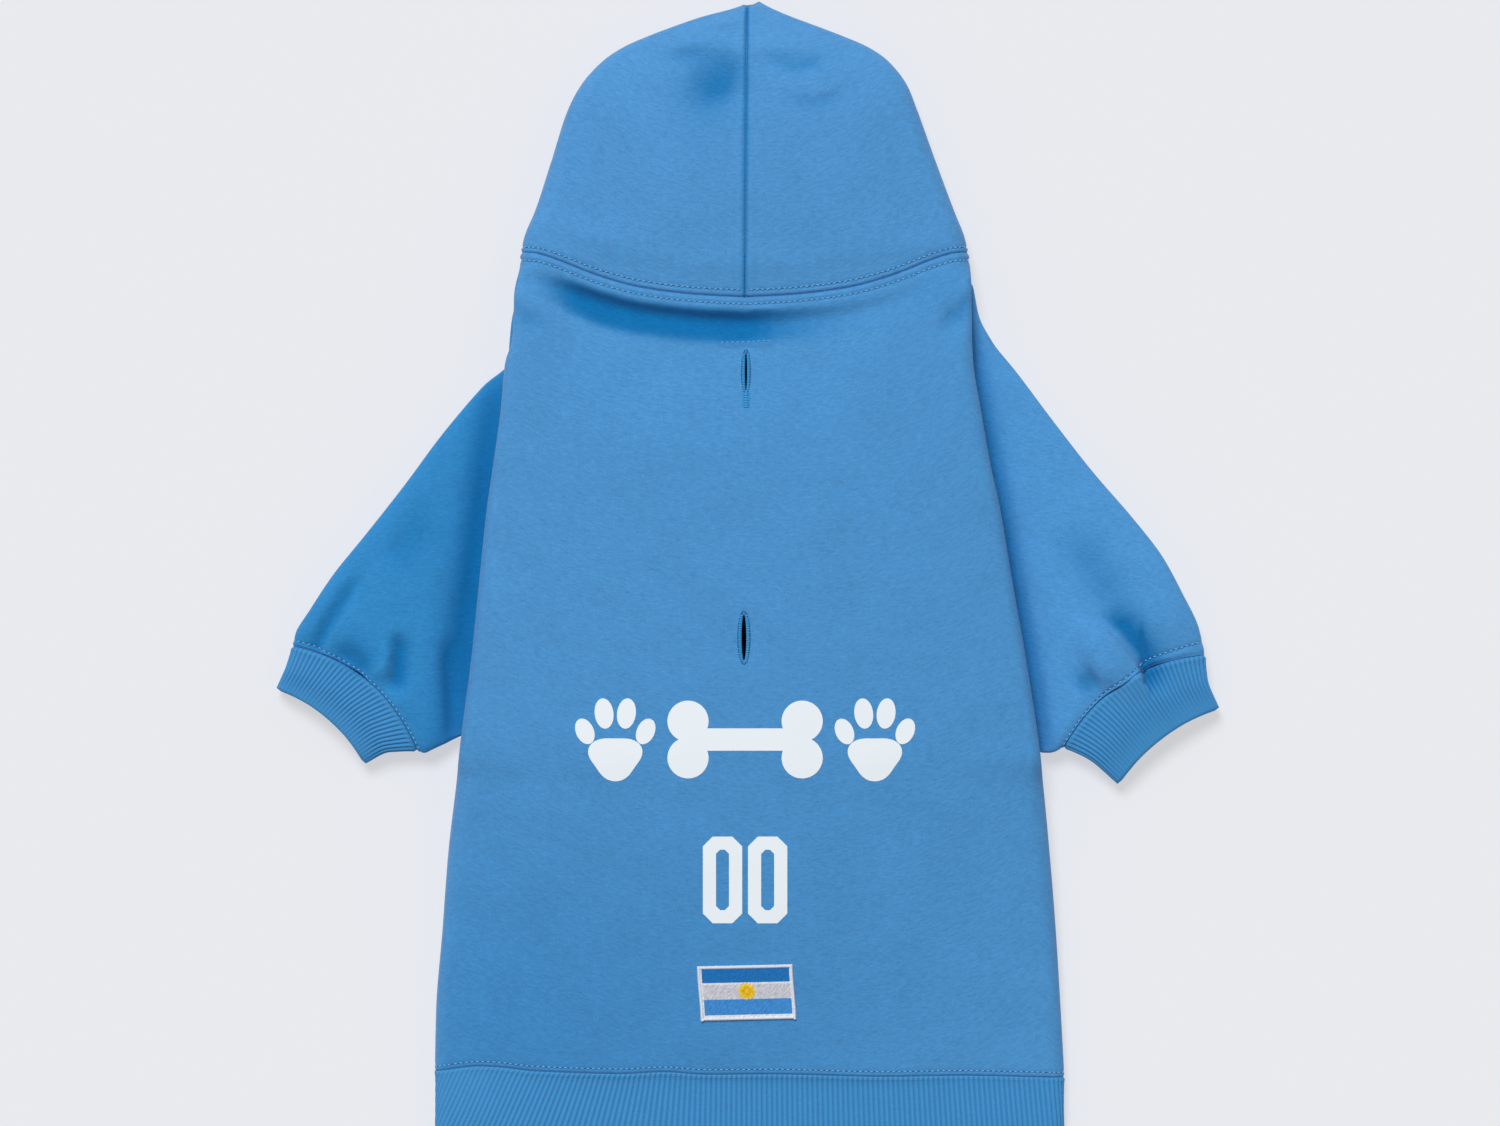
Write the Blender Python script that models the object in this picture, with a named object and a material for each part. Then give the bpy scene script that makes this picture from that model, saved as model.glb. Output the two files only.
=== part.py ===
"""A fleece dog hoodie, laid flat on its belly with the back upwards.

The frame is in metres with +Z up. +Y runs from the hem towards the hood, +X to the right of the
garment as it is seen from above, and the belly lies on Z = 0. Each panel is a wall of cloth: an
outer and an inner surface worked out from the same section, joined round their open edges.
"""

import math

import bmesh
import bpy
import numpy as np

# Driving sizes in metres
HOOD_HEIGHT = 0.1341
BACK_LENGTH = 0.3488
HEM_DEPTH = 0.0355
NECK_WIDTH = 0.2012
HEM_WIDTH = 0.2838
NECK_BOW = 0.0207
NECK_SHIFT = -0.00225
BODY_LOFT = 0.036
HOOD_LOFT = 0.028
ARMHOLE_LENGTH = 0.2097
ARMHOLE_TOP_INSET = 0.0175
ARMHOLE_DROP = 0.0135
HEM_SEAM_INSET = 0.0200
SLEEVE_REACH = 0.1036
SLEEVE_LOFT = 0.020
CUFF_DEPTH = 0.020
CUFF_SEAM_BOW = 0.0100
CUFF_MOUTH_BOW = 0.0044
FACE_OPENING_WIDTH = 0.112
PEAK_LEAN = -0.0011
HEM_SLANT = 0.0018
FLEECE_WALL = 0.0020
RIB_WALL = 0.0024
SEAM_GAP = 0.0003

UPPER_SLIT_LENGTH = 0.0165
UPPER_SLIT_WIDTH = 0.0016
LOWER_SLIT_LENGTH = 0.0205
LOWER_SLIT_WIDTH = 0.0024
UPPER_SLIT_PLACE = (-0.0016, 0.0994)
LOWER_SLIT_PLACE = (-0.0025, 0.4374)

PATCH_WIDTH = 0.0430
PATCH_HEIGHT = 0.0247
PATCH_THICKNESS = 0.0012
PATCH_TILT = math.radians(-2.2)
PATCH_PLACE = (-0.0013, 0.8940)

# The sleeve's own thickness where it passes under the back, as a share of its loft
SLEEVE_ROOT = 0.65
# Where the back comes down to the floor past the armhole's two ends, as shares of ARMHOLE_DROP
# above its top and of BACK_LENGTH below its bottom
ROOF_START = 0.70
ROOF_FULL = 0.05
ROOF_LEAVES = 0.009
ROOF_ENDS = 0.045
# Exponents of the crown across the back and of a flattened tube's edge
CROWN_POWER = 2.3
TUBE_POWER = 0.5

LEFT = -1
RIGHT = 1

# How far the neck seam has risen from its middle, against the share of the half width
NECK_CURVE_COLUMNS = ("across", "rise")
NECK_CURVE = (
    (0.00, 0.000),
    (0.22, 0.060),
    (0.46, 0.210),
    (0.61, 0.400),
    (0.72, 0.590),
    (0.82, 0.790),
    (0.93, 0.960),
    (1.00, 1.000),
)

# Rows from the neck seam to the hem seam. left and right tell how far the side fold has gone from
# the neck's half width to the hem's; crown and side are shares of BODY_LOFT.
BODY_COLUMNS = ("down", "left", "right", "crown", "side")
BODY_ROWS = (
    (0.000, 0.000, 0.000, 0.690, 0.550),
    (0.020, 0.017, 0.021, 0.720, 0.570),
    (0.050, 0.074, 0.033, 0.780, 0.640),
    (0.100, 0.092, 0.036, 0.860, 0.700),
    (0.130, 0.178, 0.050, 0.890, 0.715),
    (0.180, 0.222, 0.120, 0.925, 0.725),
    (0.250, 0.314, 0.228, 0.960, 0.735),
    (0.300, 0.385, 0.323, 0.980, 0.740),
    (0.400, 0.485, 0.470, 1.000, 0.740),
    (0.480, 0.563, 0.591, 0.990, 0.730),
    (0.580, 0.686, 0.722, 0.950, 0.700),
    (0.640, 0.751, 0.780, 0.900, 0.640),
    (0.720, 0.839, 0.845, 0.820, 0.540),
    (0.820, 0.910, 0.912, 0.710, 0.450),
    (0.920, 0.983, 0.964, 0.590, 0.390),
    (1.000, 1.000, 1.000, 0.500, 0.345),
)

# Rows from the neck seam to the peak. middle and fold are shares of the hood's height at the
# centre seam and at the fold; left and right are shares of the neck's half width; crown and side
# are shares of HOOD_LOFT; face is the share of the face opening's width.
HOOD_COLUMNS = ("up", "middle", "fold", "left", "right", "crown", "side", "face")
HOOD_ROWS = (
    (0.00, 0.000, 0.000, 1.000, 1.000, 0.887, 0.707, 0.00),
    (0.05, 0.062, 0.056, 0.988, 0.985, 0.920, 0.720, 0.30),
    (0.15, 0.178, 0.167, 0.938, 0.935, 0.975, 0.735, 0.72),
    (0.30, 0.379, 0.365, 0.867, 0.850, 1.000, 0.730, 1.00),
    (0.45, 0.574, 0.563, 0.797, 0.768, 0.960, 0.700, 0.98),
    (0.55, 0.681, 0.663, 0.739, 0.722, 0.890, 0.650, 0.86),
    (0.65, 0.779, 0.762, 0.640, 0.634, 0.790, 0.580, 0.60),
    (0.72, 0.828, 0.815, 0.553, 0.548, 0.710, 0.520, 0.00),
    (0.79, 0.872, 0.860, 0.442, 0.433, 0.600, 0.450, 0.00),
    (0.85, 0.905, 0.894, 0.344, 0.334, 0.510, 0.390, 0.00),
    (0.91, 0.942, 0.936, 0.212, 0.208, 0.420, 0.330, 0.00),
    (0.96, 0.972, 0.974, 0.085, 0.108, 0.340, 0.280, 0.00),
    (1.00, 0.990, 1.000, 0.030, 0.070, 0.250, 0.250, 0.00),
)

# Rows from the armhole to the cuff seam. out is a share of SLEEVE_REACH and down of
# ARMHOLE_LENGTH, for the outer fold and for the underarm fold; loft is a share of SLEEVE_LOFT.
SLEEVE_COLUMNS = (
    "along",
    "outer_out",
    "outer_down",
    "inner_out",
    "inner_down",
    "outer_loft",
    "inner_loft",
)
SLEEVE_ROWS = {
    LEFT: (
        (0.00, 0.000, 0.000, 0.000, 1.000, 0.65, 0.65),
        (0.12, 0.159, 0.009, 0.070, 0.998, 0.60, 0.65),
        (0.22, 0.195, 0.092, 0.110, 0.991, 0.56, 0.65),
        (0.30, 0.193, 0.172, 0.151, 0.985, 0.56, 0.65),
        (0.36, 0.286, 0.221, 0.187, 0.979, 0.60, 0.65),
        (0.45, 0.447, 0.328, 0.218, 0.974, 0.72, 0.67),
        (0.55, 0.586, 0.436, 0.256, 0.981, 0.85, 0.72),
        (0.65, 0.734, 0.543, 0.285, 0.989, 0.95, 0.78),
        (0.75, 0.856, 0.629, 0.314, 0.996, 1.00, 0.82),
        (0.85, 0.941, 0.704, 0.347, 1.004, 1.00, 0.84),
        (0.93, 0.992, 0.753, 0.380, 1.011, 0.92, 0.82),
        (1.00, 1.000, 0.781, 0.411, 1.006, 0.80, 0.80),
    ),
    RIGHT: (
        (0.00, 0.000, 0.000, 0.000, 1.000, 0.65, 0.65),
        (0.12, 0.186, 0.004, 0.071, 1.000, 0.60, 0.65),
        (0.22, 0.201, 0.071, 0.115, 0.998, 0.56, 0.65),
        (0.30, 0.248, 0.129, 0.154, 0.998, 0.56, 0.65),
        (0.36, 0.334, 0.191, 0.189, 1.000, 0.60, 0.65),
        (0.45, 0.463, 0.292, 0.218, 1.004, 0.72, 0.67),
        (0.55, 0.615, 0.406, 0.243, 1.009, 0.85, 0.72),
        (0.65, 0.766, 0.506, 0.265, 1.011, 0.95, 0.78),
        (0.75, 0.877, 0.590, 0.287, 1.011, 1.00, 0.82),
        (0.85, 0.946, 0.670, 0.308, 1.009, 1.00, 0.84),
        (0.93, 0.999, 0.743, 0.330, 1.004, 0.92, 0.82),
        (1.00, 1.012, 0.800, 0.350, 0.998, 0.80, 0.80),
    ),
}

# Rows from the cuff seam to the cuff's mouth: steps from the seam's two ends as shares of
# CUFF_DEPTH, and the loft as a share of SLEEVE_LOFT.
CUFF_COLUMNS = ("along", "outer_out", "outer_down", "inner_out", "inner_down", "loft")
CUFF_ROWS = {
    LEFT: (
        (0.00, 0.000, 0.000, 0.000, 0.000, 0.80),
        (0.50, 0.160, 0.500, 0.630, 0.030, 0.80),
        (1.00, 0.370, 0.945, 1.170, 0.290, 0.68),
    ),
    RIGHT: (
        (0.00, 0.000, 0.000, 0.000, 0.000, 0.80),
        (0.50, 0.060, 0.560, 0.600, 0.290, 0.80),
        (1.00, 0.326, 1.190, 1.226, 0.833, 0.68),
    ),
}

# Rows down the hem band: half width as a share of the hem's, crown and side of BODY_LOFT
HEM_COLUMNS = ("down", "width", "crown", "side")
HEM_ROWS = (
    (0.00, 1.000, 0.500, 0.345),
    (0.12, 0.998, 0.465, 0.350),
    (0.50, 0.998, 0.445, 0.360),
    (0.90, 1.000, 0.425, 0.350),
    (1.00, 1.000, 0.400, 0.335),
)

# Soft hollows and swells. Each row is: across, along, wide, long, height, turn. The place and the
# spread are shares of the panel's half width and of its length, the height is a share of the
# panel's loft, and the turn of the long axis is in degrees. A sleeve's across runs from its outer
# fold to its underarm fold, and its along from the armhole to the cuff seam.
BACK_DENTS = (
    (-0.62, 0.034, 0.360, 0.0130, -0.150, 0.0),
    (-0.10, 0.036, 0.300, 0.0130, -0.120, 0.0),
    (0.40, 0.034, 0.300, 0.0120, -0.060, 0.0),
    (0.91, 0.075, 0.060, 0.0300, -0.070, 35.0),
    (-0.45, 0.200, 0.350, 0.0900, 0.020, 0.0),
    (0.45, 0.300, 0.350, 0.1200, 0.015, 0.0),
    (0.00, 0.640, 0.550, 0.0700, -0.015, 0.0),
)
HOOD_DENTS = (
    (-0.28, 0.690, 0.160, 0.0800, -0.130, 12.0),
    (0.42, 0.760, 0.180, 0.0350, -0.060, -30.0),
    (-0.30, 0.880, 0.250, 0.0300, 0.050, 0.0),
    (-0.72, 0.110, 0.160, 0.0350, 0.040, 20.0),
    (0.02, 0.090, 0.600, 0.0350, 0.020, 0.0),
)

SLEEVE_DENTS = {
    LEFT: (
        (0.30, 0.930, 0.130, 0.0600, -0.090, 0.0),
        (0.13, 0.860, 0.070, 0.1200, -0.080, 0.0),
        (0.58, 0.900, 0.070, 0.1000, -0.080, 0.0),
    ),
    RIGHT: (
        (0.52, 0.840, 0.080, 0.2000, 0.130, 0.0),
        (0.39, 0.920, 0.070, 0.0900, -0.120, 0.0),
    ),
}

# How finely each surface is divided
CROWN_STEPS = 10
HOOD_CROWN_STEPS = 8
BEND_STEPS = 5
RETURN_STEPS = 3
FLAP_STEPS = 5
SLEEVE_STEPS = 28
CUFF_STEPS = 20
BODY_STATIONS = (
    0.0,
    0.010,
    0.019,
    0.027,
    0.036,
    0.046,
    0.060,
    0.085,
    0.12,
    0.16,
    0.21,
    0.27,
    0.33,
    0.40,
    0.46,
    0.52,
    0.565,
    0.585,
    0.60,
    0.615,
    0.63,
    0.66,
    0.72,
    0.80,
    0.88,
    0.95,
    1.0,
)
HOOD_STATIONS = (
    0.0,
    0.06,
    0.14,
    0.24,
    0.35,
    0.46,
    0.55,
    0.63,
    0.68,
    0.72,
    0.79,
    0.85,
    0.90,
    0.94,
    0.97,
    1.0,
)
SLEEVE_STATIONS = (
    0.0,
    0.07,
    0.14,
    0.22,
    0.30,
    0.37,
    0.46,
    0.55,
    0.64,
    0.72,
    0.79,
    0.86,
    0.91,
    0.96,
    1.0,
)
CUFF_STATIONS = (0.0, 0.25, 0.5, 0.75, 1.0)
HEM_STATIONS = (0.0, 0.12, 0.4, 0.7, 0.9, 1.0)

# Lines worked out from the sizes
TOTAL_LENGTH = HOOD_HEIGHT + BACK_LENGTH + HEM_DEPTH
NECK_Y = TOTAL_LENGTH / 2 - HOOD_HEIGHT
CORNER_Y = NECK_Y + NECK_BOW
HEM_Y = HEM_DEPTH - TOTAL_LENGTH / 2
ARMHOLE_TOP_Y = CORNER_Y - ARMHOLE_DROP
ARMHOLE_BOTTOM_Y = ARMHOLE_TOP_Y - ARMHOLE_LENGTH
SLEEVE_ROOF = SLEEVE_LOFT * SLEEVE_ROOT + 2 * SEAM_GAP

CLOTH_COLORS = {
    "fleece": (0.075, 0.295, 0.605),
    "sleeve_fleece": (0.055, 0.260, 0.560),
    "rib_knit": (0.047, 0.250, 0.525),
    "patch_thread": (0.660, 0.690, 0.760),
}


def column(rows, names, name, at):
    """One column of a table at the places asked for, on a smooth curve that doesn't overshoot."""
    table = np.array(rows, float)
    x = table[:, 0]
    y = table[:, names.index(name)]
    step = np.diff(x)
    slope = np.diff(y) / step
    tangent = np.zeros_like(y)
    same_way = slope[:-1] * slope[1:] > 0
    mean = 2 * slope[:-1] * slope[1:] / np.where(same_way, slope[:-1] + slope[1:], 1)
    tangent[1:-1] = np.where(same_way, mean, 0)
    tangent[0] = slope[0]
    tangent[-1] = slope[-1]
    at = np.asarray(at, float)
    left = np.clip(np.searchsorted(x, at, side="right") - 1, 0, len(step) - 1)
    run = step[left]
    s = np.clip((at - x[left]) / run, 0, 1)
    return (
        y[left] * (1 + 2 * s) * (1 - s) ** 2
        + tangent[left] * run * s * (1 - s) ** 2
        + y[left + 1] * s**2 * (3 - 2 * s)
        - tangent[left + 1] * run * s**2 * (1 - s)
    )


def ramp(value):
    """A smooth step from 0 to 1."""
    s = np.clip(value, 0, 1)
    return s * s * (3 - 2 * s)


def neck_rise(across):
    return column(NECK_CURVE, NECK_CURVE_COLUMNS, "rise", np.abs(across))


def dents(rows, across, down):
    """The sum of the soft hollows and swells: each is a Gaussian on a turned ellipse."""
    total = np.zeros(np.broadcast(across, down).shape)
    for place_across, place_down, wide, long, height, turn in rows:
        cosine, sine = math.cos(math.radians(turn)), math.sin(math.radians(turn))
        x = (across - place_across) / wide
        y = (down - place_down) / long
        along = x * cosine + y * sine
        side = y * cosine - x * sine
        total = total + height * np.exp(-(along**2) - side**2)
    return total


def half_section(place, start, half, crown, side, under, reach, inset):
    """Distance from the middle line and height of one half of a lying tube's section.

    place runs from 0 at the middle to 1 where the bend starts, 2 where it ends underneath and 3
    at reach, the edge of the turned-under cloth. inset moves the section into the cloth.
    """
    radius = (side - under) / 2
    centre = half - radius
    top = np.clip(place, 0, 1)
    turn = np.pi * np.clip(place - 1, 0, 1)
    back = np.clip(place - 2, 0, 1)
    x = start + (centre - start) * top
    x = x + (radius - inset) * np.sin(turn)
    x = x + (reach - centre) * back
    z = under + radius + (radius - inset) * np.cos(turn)
    share = np.clip(x / np.maximum(centre, 1e-6), 0, 1)
    z = z + np.where(place < 1, (crown - side) * (1 - share**CROWN_POWER), 0)
    return x, z


def side_seam(side, y):
    """X of the armhole and side seam, a straight line from the armhole's top to the hem."""
    top = side * (NECK_WIDTH / 2 - ARMHOLE_TOP_INSET) + NECK_SHIFT
    bottom = side * (HEM_WIDTH / 2 - HEM_SEAM_INSET)
    share = (ARMHOLE_TOP_Y - y) / (ARMHOLE_TOP_Y - HEM_Y)
    return top + (bottom - top) * share


def body_fold(side, down):
    share = column(BODY_ROWS, BODY_COLUMNS, "left" if side == LEFT else "right", down)
    half = NECK_WIDTH / 2 + (HEM_WIDTH - NECK_WIDTH) / 2 * share
    return half, NECK_SHIFT * (1 - share)


def body_roof(fold_y):
    """Height of the back's underside: on the sleeve along the armhole, on the floor elsewhere."""
    above = (fold_y - ARMHOLE_TOP_Y) / ARMHOLE_DROP
    below = (ARMHOLE_BOTTOM_Y - fold_y) / BACK_LENGTH
    rise = ramp((ROOF_START - above) / (ROOF_START - ROOF_FULL))
    fall = ramp((ROOF_ENDS - below) / (ROOF_ENDS - ROOF_LEAVES))
    return SLEEVE_ROOF * rise * fall


def back_points(side, place, down, inset):
    """One half of the back panel: place across as in half_section, down from neck to hem."""
    half, shift = body_fold(side, down)
    fold_y = NECK_Y - down * BACK_LENGTH + NECK_BOW * (1 - down) ** 2
    crown = BODY_LOFT * column(BODY_ROWS, BODY_COLUMNS, "crown", down)
    side_top = BODY_LOFT * column(BODY_ROWS, BODY_COLUMNS, "side", down)
    under = body_roof(fold_y)
    reach = side * (side_seam(side, fold_y) - shift)
    x, z = half_section(place, 0, half, crown, side_top, under, reach, inset)
    across = x / half
    rise = np.where(place < 2, neck_rise(across), 1)
    y = NECK_Y - down * BACK_LENGTH + NECK_BOW * rise * (1 - down) ** 2
    y = y - HEM_SLANT * side * across * down**4
    z = z + np.where(place < 1.5, BODY_LOFT * dents(BACK_DENTS, side * across, down), 0)
    return np.stack([side * x + shift, y, z], axis=-1)


def hood_points(side, place, up, inset):
    """One half of the hood, from the centre seam over the fold to the face opening's edge."""
    values = {name: column(HOOD_ROWS, HOOD_COLUMNS, name, up) for name in HOOD_COLUMNS}
    half = NECK_WIDTH / 2 * values["left" if side == LEFT else "right"]
    crown = HOOD_LOFT * values["crown"]
    side_top = HOOD_LOFT * values["side"]
    closing = ramp((up - HOOD_STATIONS[-2]) / (1 - HOOD_STATIONS[-2]))
    start = SEAM_GAP / 2
    face = start + FACE_OPENING_WIDTH / 2 * values["face"]
    x, z = half_section(place, start, half, crown, side_top, 0, face, inset)
    across = x / np.maximum(half, 1e-6)
    middle_y = NECK_Y + HOOD_HEIGHT * values["middle"]
    fold_y = CORNER_Y + (HOOD_HEIGHT - NECK_BOW) * values["fold"]
    under_rise = 1 - closing * (1 - neck_rise(across))
    rise = np.where(place < 2, neck_rise(across), under_rise)
    y = middle_y + (fold_y - middle_y) * rise
    z = z + np.where(place < 1.5, HOOD_LOFT * dents(HOOD_DENTS, side * across, up), 0)
    z = z + (side_top / 2 - z) * closing
    y = y - inset * closing + SEAM_GAP * (1 - ramp(up / HOOD_STATIONS[1]))
    lean = NECK_SHIFT * (1 - up) + PEAK_LEAN * up
    return np.stack([side * x + lean, y, z], axis=-1)


def flat_tube(angle, outer, inner, bow, bulge, outer_loft, inner_loft, lift, inset):
    """A flattened tube's section between two folds, its middle pushed by bow along bulge.

    lift raises the upper layer, fading out towards the folds.
    """
    chord = inner - outer
    along = chord / np.linalg.norm(chord, axis=-1, keepdims=True)
    share = (1 - np.cos(angle)) / 2
    first = outer + along * inset
    plan = first + (chord - 2 * along * inset) * share[..., None]
    plan = plan + bulge * (bow * 4 * share * (1 - share))[..., None]
    loft = outer_loft + (inner_loft - outer_loft) * share
    wave = np.sign(np.sin(angle)) * np.abs(np.sin(angle)) ** TUBE_POWER
    z = loft / 2 + (loft / 2 - inset) * wave + lift * np.clip(wave, 0, 1)
    return np.concatenate([plan, z[..., None]], axis=-1)


def sleeve_edge(side, out, down):
    """A point given by its share of the reach outwards and of the armhole downwards."""
    y = ARMHOLE_TOP_Y - ARMHOLE_LENGTH * down
    x = side_seam(side, y) + side * SLEEVE_REACH * out
    return np.stack([x, y], axis=-1)


def sleeve_values(side, along):
    return {
        name: column(SLEEVE_ROWS[side], SLEEVE_COLUMNS, name, along) for name in SLEEVE_COLUMNS
    }


def inward(outer, inner, side):
    """The unit normal of the chord between two folds, on the side towards the armhole."""
    chord = inner - outer
    normal = np.stack([-side * chord[..., 1], side * chord[..., 0]], axis=-1)
    normal = normal / np.linalg.norm(normal, axis=-1, keepdims=True)
    return -normal


def sleeve_points(side, angle, along, inset):
    """The sleeve from the armhole, along 0, to the cuff seam, along 1."""
    values = sleeve_values(side, along)
    outer = sleeve_edge(side, values["outer_out"], values["outer_down"])
    inner = sleeve_edge(side, values["inner_out"], values["inner_down"])
    return flat_tube(
        angle,
        outer,
        inner,
        CUFF_SEAM_BOW * along**2,
        inward(outer, inner, side),
        SLEEVE_LOFT * values["outer_loft"],
        SLEEVE_LOFT * values["inner_loft"],
        SLEEVE_LOFT * dents(SLEEVE_DENTS[side], (1 - np.cos(angle)) / 2, along),
        inset,
    )


def cuff_points(side, angle, along, inset):
    """The rib cuff from its seam, along 0, to its mouth, along 1."""
    values = {name: column(CUFF_ROWS[side], CUFF_COLUMNS, name, along) for name in CUFF_COLUMNS}
    seam = sleeve_values(side, np.ones_like(along))
    outer = sleeve_edge(side, seam["outer_out"], seam["outer_down"])
    inner = sleeve_edge(side, seam["inner_out"], seam["inner_down"])
    bulge = inward(outer, inner, side)
    clear = -bulge * (SEAM_GAP * (1 - along))[..., None]
    outer_step = np.stack([side * values["outer_out"], -values["outer_down"]], axis=-1)
    inner_step = np.stack([side * values["inner_out"], -values["inner_down"]], axis=-1)
    loft = SLEEVE_LOFT * values["loft"]
    return flat_tube(
        angle,
        outer + CUFF_DEPTH * outer_step + clear,
        inner + CUFF_DEPTH * inner_step + clear,
        CUFF_SEAM_BOW + (CUFF_MOUTH_BOW - CUFF_SEAM_BOW) * along,
        bulge,
        loft,
        loft,
        0,
        inset,
    )


def hem_points(side, place, down, inset):
    """One half of the hem band, from the middle of the back round to the middle of the belly."""
    half = HEM_WIDTH / 2 * column(HEM_ROWS, HEM_COLUMNS, "width", down)
    crown = BODY_LOFT * column(HEM_ROWS, HEM_COLUMNS, "crown", down)
    side_top = BODY_LOFT * column(HEM_ROWS, HEM_COLUMNS, "side", down)
    x, z = half_section(place, 0, half, crown, side_top, 0, 0, inset)
    y = HEM_Y - SEAM_GAP * (1 - down) - HEM_DEPTH * down
    y = y - HEM_SLANT * side * x / half * (1 - down)
    return np.stack([side * x, y, z], axis=-1)


def solid_from_walls(name, outer, inner, around=False, shut_end=False):
    """A closed body between an outer and an inner grid of points, rows by columns.

    around closes each row on itself. shut_end leaves out the last row's edge, where each grid
    closes on itself as the points of its last row meet in pairs.
    """
    rows, columns = outer.shape[:2]
    mesh = bmesh.new()
    grids = []
    for grid in (outer, inner):
        grids.append([[mesh.verts.new(point) for point in row] for row in grid.tolist()])
    last = columns if around else columns - 1
    for level, grid in enumerate(grids):
        for r in range(rows - 1):
            for c in range(last):
                n = (c + 1) % columns
                quad = [grid[r][c], grid[r][n], grid[r + 1][n], grid[r + 1][c]]
                mesh.faces.new(quad if level == 0 else quad[::-1])
    a, b = grids
    for c in range(last):
        n = (c + 1) % columns
        mesh.faces.new([a[0][n], a[0][c], b[0][c], b[0][n]])
        if not shut_end:
            mesh.faces.new([a[-1][c], a[-1][n], b[-1][n], b[-1][c]])
    if not around:
        for r in range(rows - 1):
            mesh.faces.new([a[r][0], a[r + 1][0], b[r + 1][0], b[r][0]])
            mesh.faces.new([a[r + 1][-1], a[r][-1], b[r][-1], b[r + 1][-1]])
    bmesh.ops.remove_doubles(mesh, verts=mesh.verts, dist=1e-6)
    bmesh.ops.recalc_face_normals(mesh, faces=mesh.faces)
    if mesh.calc_volume(signed=True) < 0:
        bmesh.ops.reverse_faces(mesh, faces=mesh.faces)
    data = bpy.data.meshes.new(name)
    mesh.to_mesh(data)
    mesh.free()
    return bpy.data.objects.new(name, data)


def places(crown_steps, return_steps):
    """Places across one half of a section, closer together towards the bend."""
    top = np.sin(np.linspace(0, np.pi / 2, crown_steps + 1)) ** 1.15
    bend = 1 + np.arange(1, BEND_STEPS + 1) / BEND_STEPS
    back = 2 + np.arange(1, return_steps + 1) / return_steps
    return np.concatenate([top, bend, back])


def mirrored_places(crown_steps):
    """Places whose turned-under half lies right below the upper half."""
    top = places(crown_steps, 1)[: crown_steps + 1]
    bend = 1 + np.arange(1, BEND_STEPS) / BEND_STEPS
    return np.concatenate([top, bend, 3 - top[::-1]])


def both_halves(points, crown_steps, return_steps, stations, inset):
    """A grid that runs from the left half's edge over the middle to the right half's edge."""
    place = places(crown_steps, return_steps)[None, :]
    down = np.array(stations)[:, None]
    left = points(LEFT, place, down, inset)
    right = points(RIGHT, place, down, inset)
    return np.concatenate([left[:, :0:-1], right], axis=1)


def back_panel():
    walls = []
    for inset in (0, FLEECE_WALL):
        walls.append(both_halves(back_points, CROWN_STEPS, RETURN_STEPS, BODY_STATIONS, inset))
    return solid_from_walls("back_panel", *walls)


def hood_half(side):
    place = mirrored_places(HOOD_CROWN_STEPS)[None, :]
    up = np.array(HOOD_STATIONS)[:, None]
    name = "hood_left" if side == LEFT else "hood_right"
    walls = [hood_points(side, place, up, inset) for inset in (0, FLEECE_WALL)]
    return solid_from_walls(name, *walls, shut_end=True)


def tube_grid(stations, steps):
    """The angles round a flattened tube and the places along it, as two grids of one shape."""
    return np.meshgrid(2 * np.pi * np.arange(steps) / steps, np.array(stations))


def sleeve(side):
    angle, along = tube_grid(SLEEVE_STATIONS, SLEEVE_STEPS)
    name = "sleeve_left" if side == LEFT else "sleeve_right"
    walls = [sleeve_points(side, angle, along, inset) for inset in (0, FLEECE_WALL)]
    return solid_from_walls(name, *walls, around=True)


def cuff(side):
    angle, along = tube_grid(CUFF_STATIONS, CUFF_STEPS)
    name = "cuff_left" if side == LEFT else "cuff_right"
    walls = [cuff_points(side, angle, along, inset) for inset in (0, RIB_WALL)]
    return solid_from_walls(name, *walls, around=True)


def hem_band():
    walls = []
    for inset in (0, RIB_WALL):
        grid = both_halves(hem_points, CROWN_STEPS, FLAP_STEPS, HEM_STATIONS, inset)
        walls.append(grid[:, :-1])
    return solid_from_walls("hem_band", *walls, around=True)


def belly_panel():
    """The flat chest and belly piece between the two side seams, from the neck to the hem."""
    share = np.linspace(-1, 1, 9)[None, :]
    top = CORNER_Y - SEAM_GAP
    down = np.linspace(0, 1, 9)[:, None]
    y = top + (HEM_Y - top) * down + 0 * share
    left = side_seam(LEFT, y) + SEAM_GAP
    right = side_seam(RIGHT, y) - SEAM_GAP
    x = (left + right) / 2 + (right - left) / 2 * share
    y = y - HEM_SLANT * x / (HEM_WIDTH / 2) * down**4
    upper = np.stack([x, y, np.full_like(x, FLEECE_WALL)], axis=-1)
    lower = np.stack([x, y, np.zeros_like(x)], axis=-1)
    return solid_from_walls("belly_panel", upper, lower)


def back_height(x, y):
    """Height of the back's outer face below the neck, where its rows lie straight across."""
    down = (NECK_Y - y) / BACK_LENGTH
    side = np.where(x < 0, LEFT, RIGHT)
    share = np.where(
        side == LEFT,
        column(BODY_ROWS, BODY_COLUMNS, "left", down),
        column(BODY_ROWS, BODY_COLUMNS, "right", down),
    )
    half = NECK_WIDTH / 2 + (HEM_WIDTH - NECK_WIDTH) / 2 * share
    crown = BODY_LOFT * column(BODY_ROWS, BODY_COLUMNS, "crown", down)
    side_top = BODY_LOFT * column(BODY_ROWS, BODY_COLUMNS, "side", down)
    centre = half - side_top / 2
    across = np.abs(x - NECK_SHIFT * (1 - share)) / centre
    z = side_top + (crown - side_top) * (1 - across**CROWN_POWER)
    return z + BODY_LOFT * dents(BACK_DENTS, x / half, down)


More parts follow.
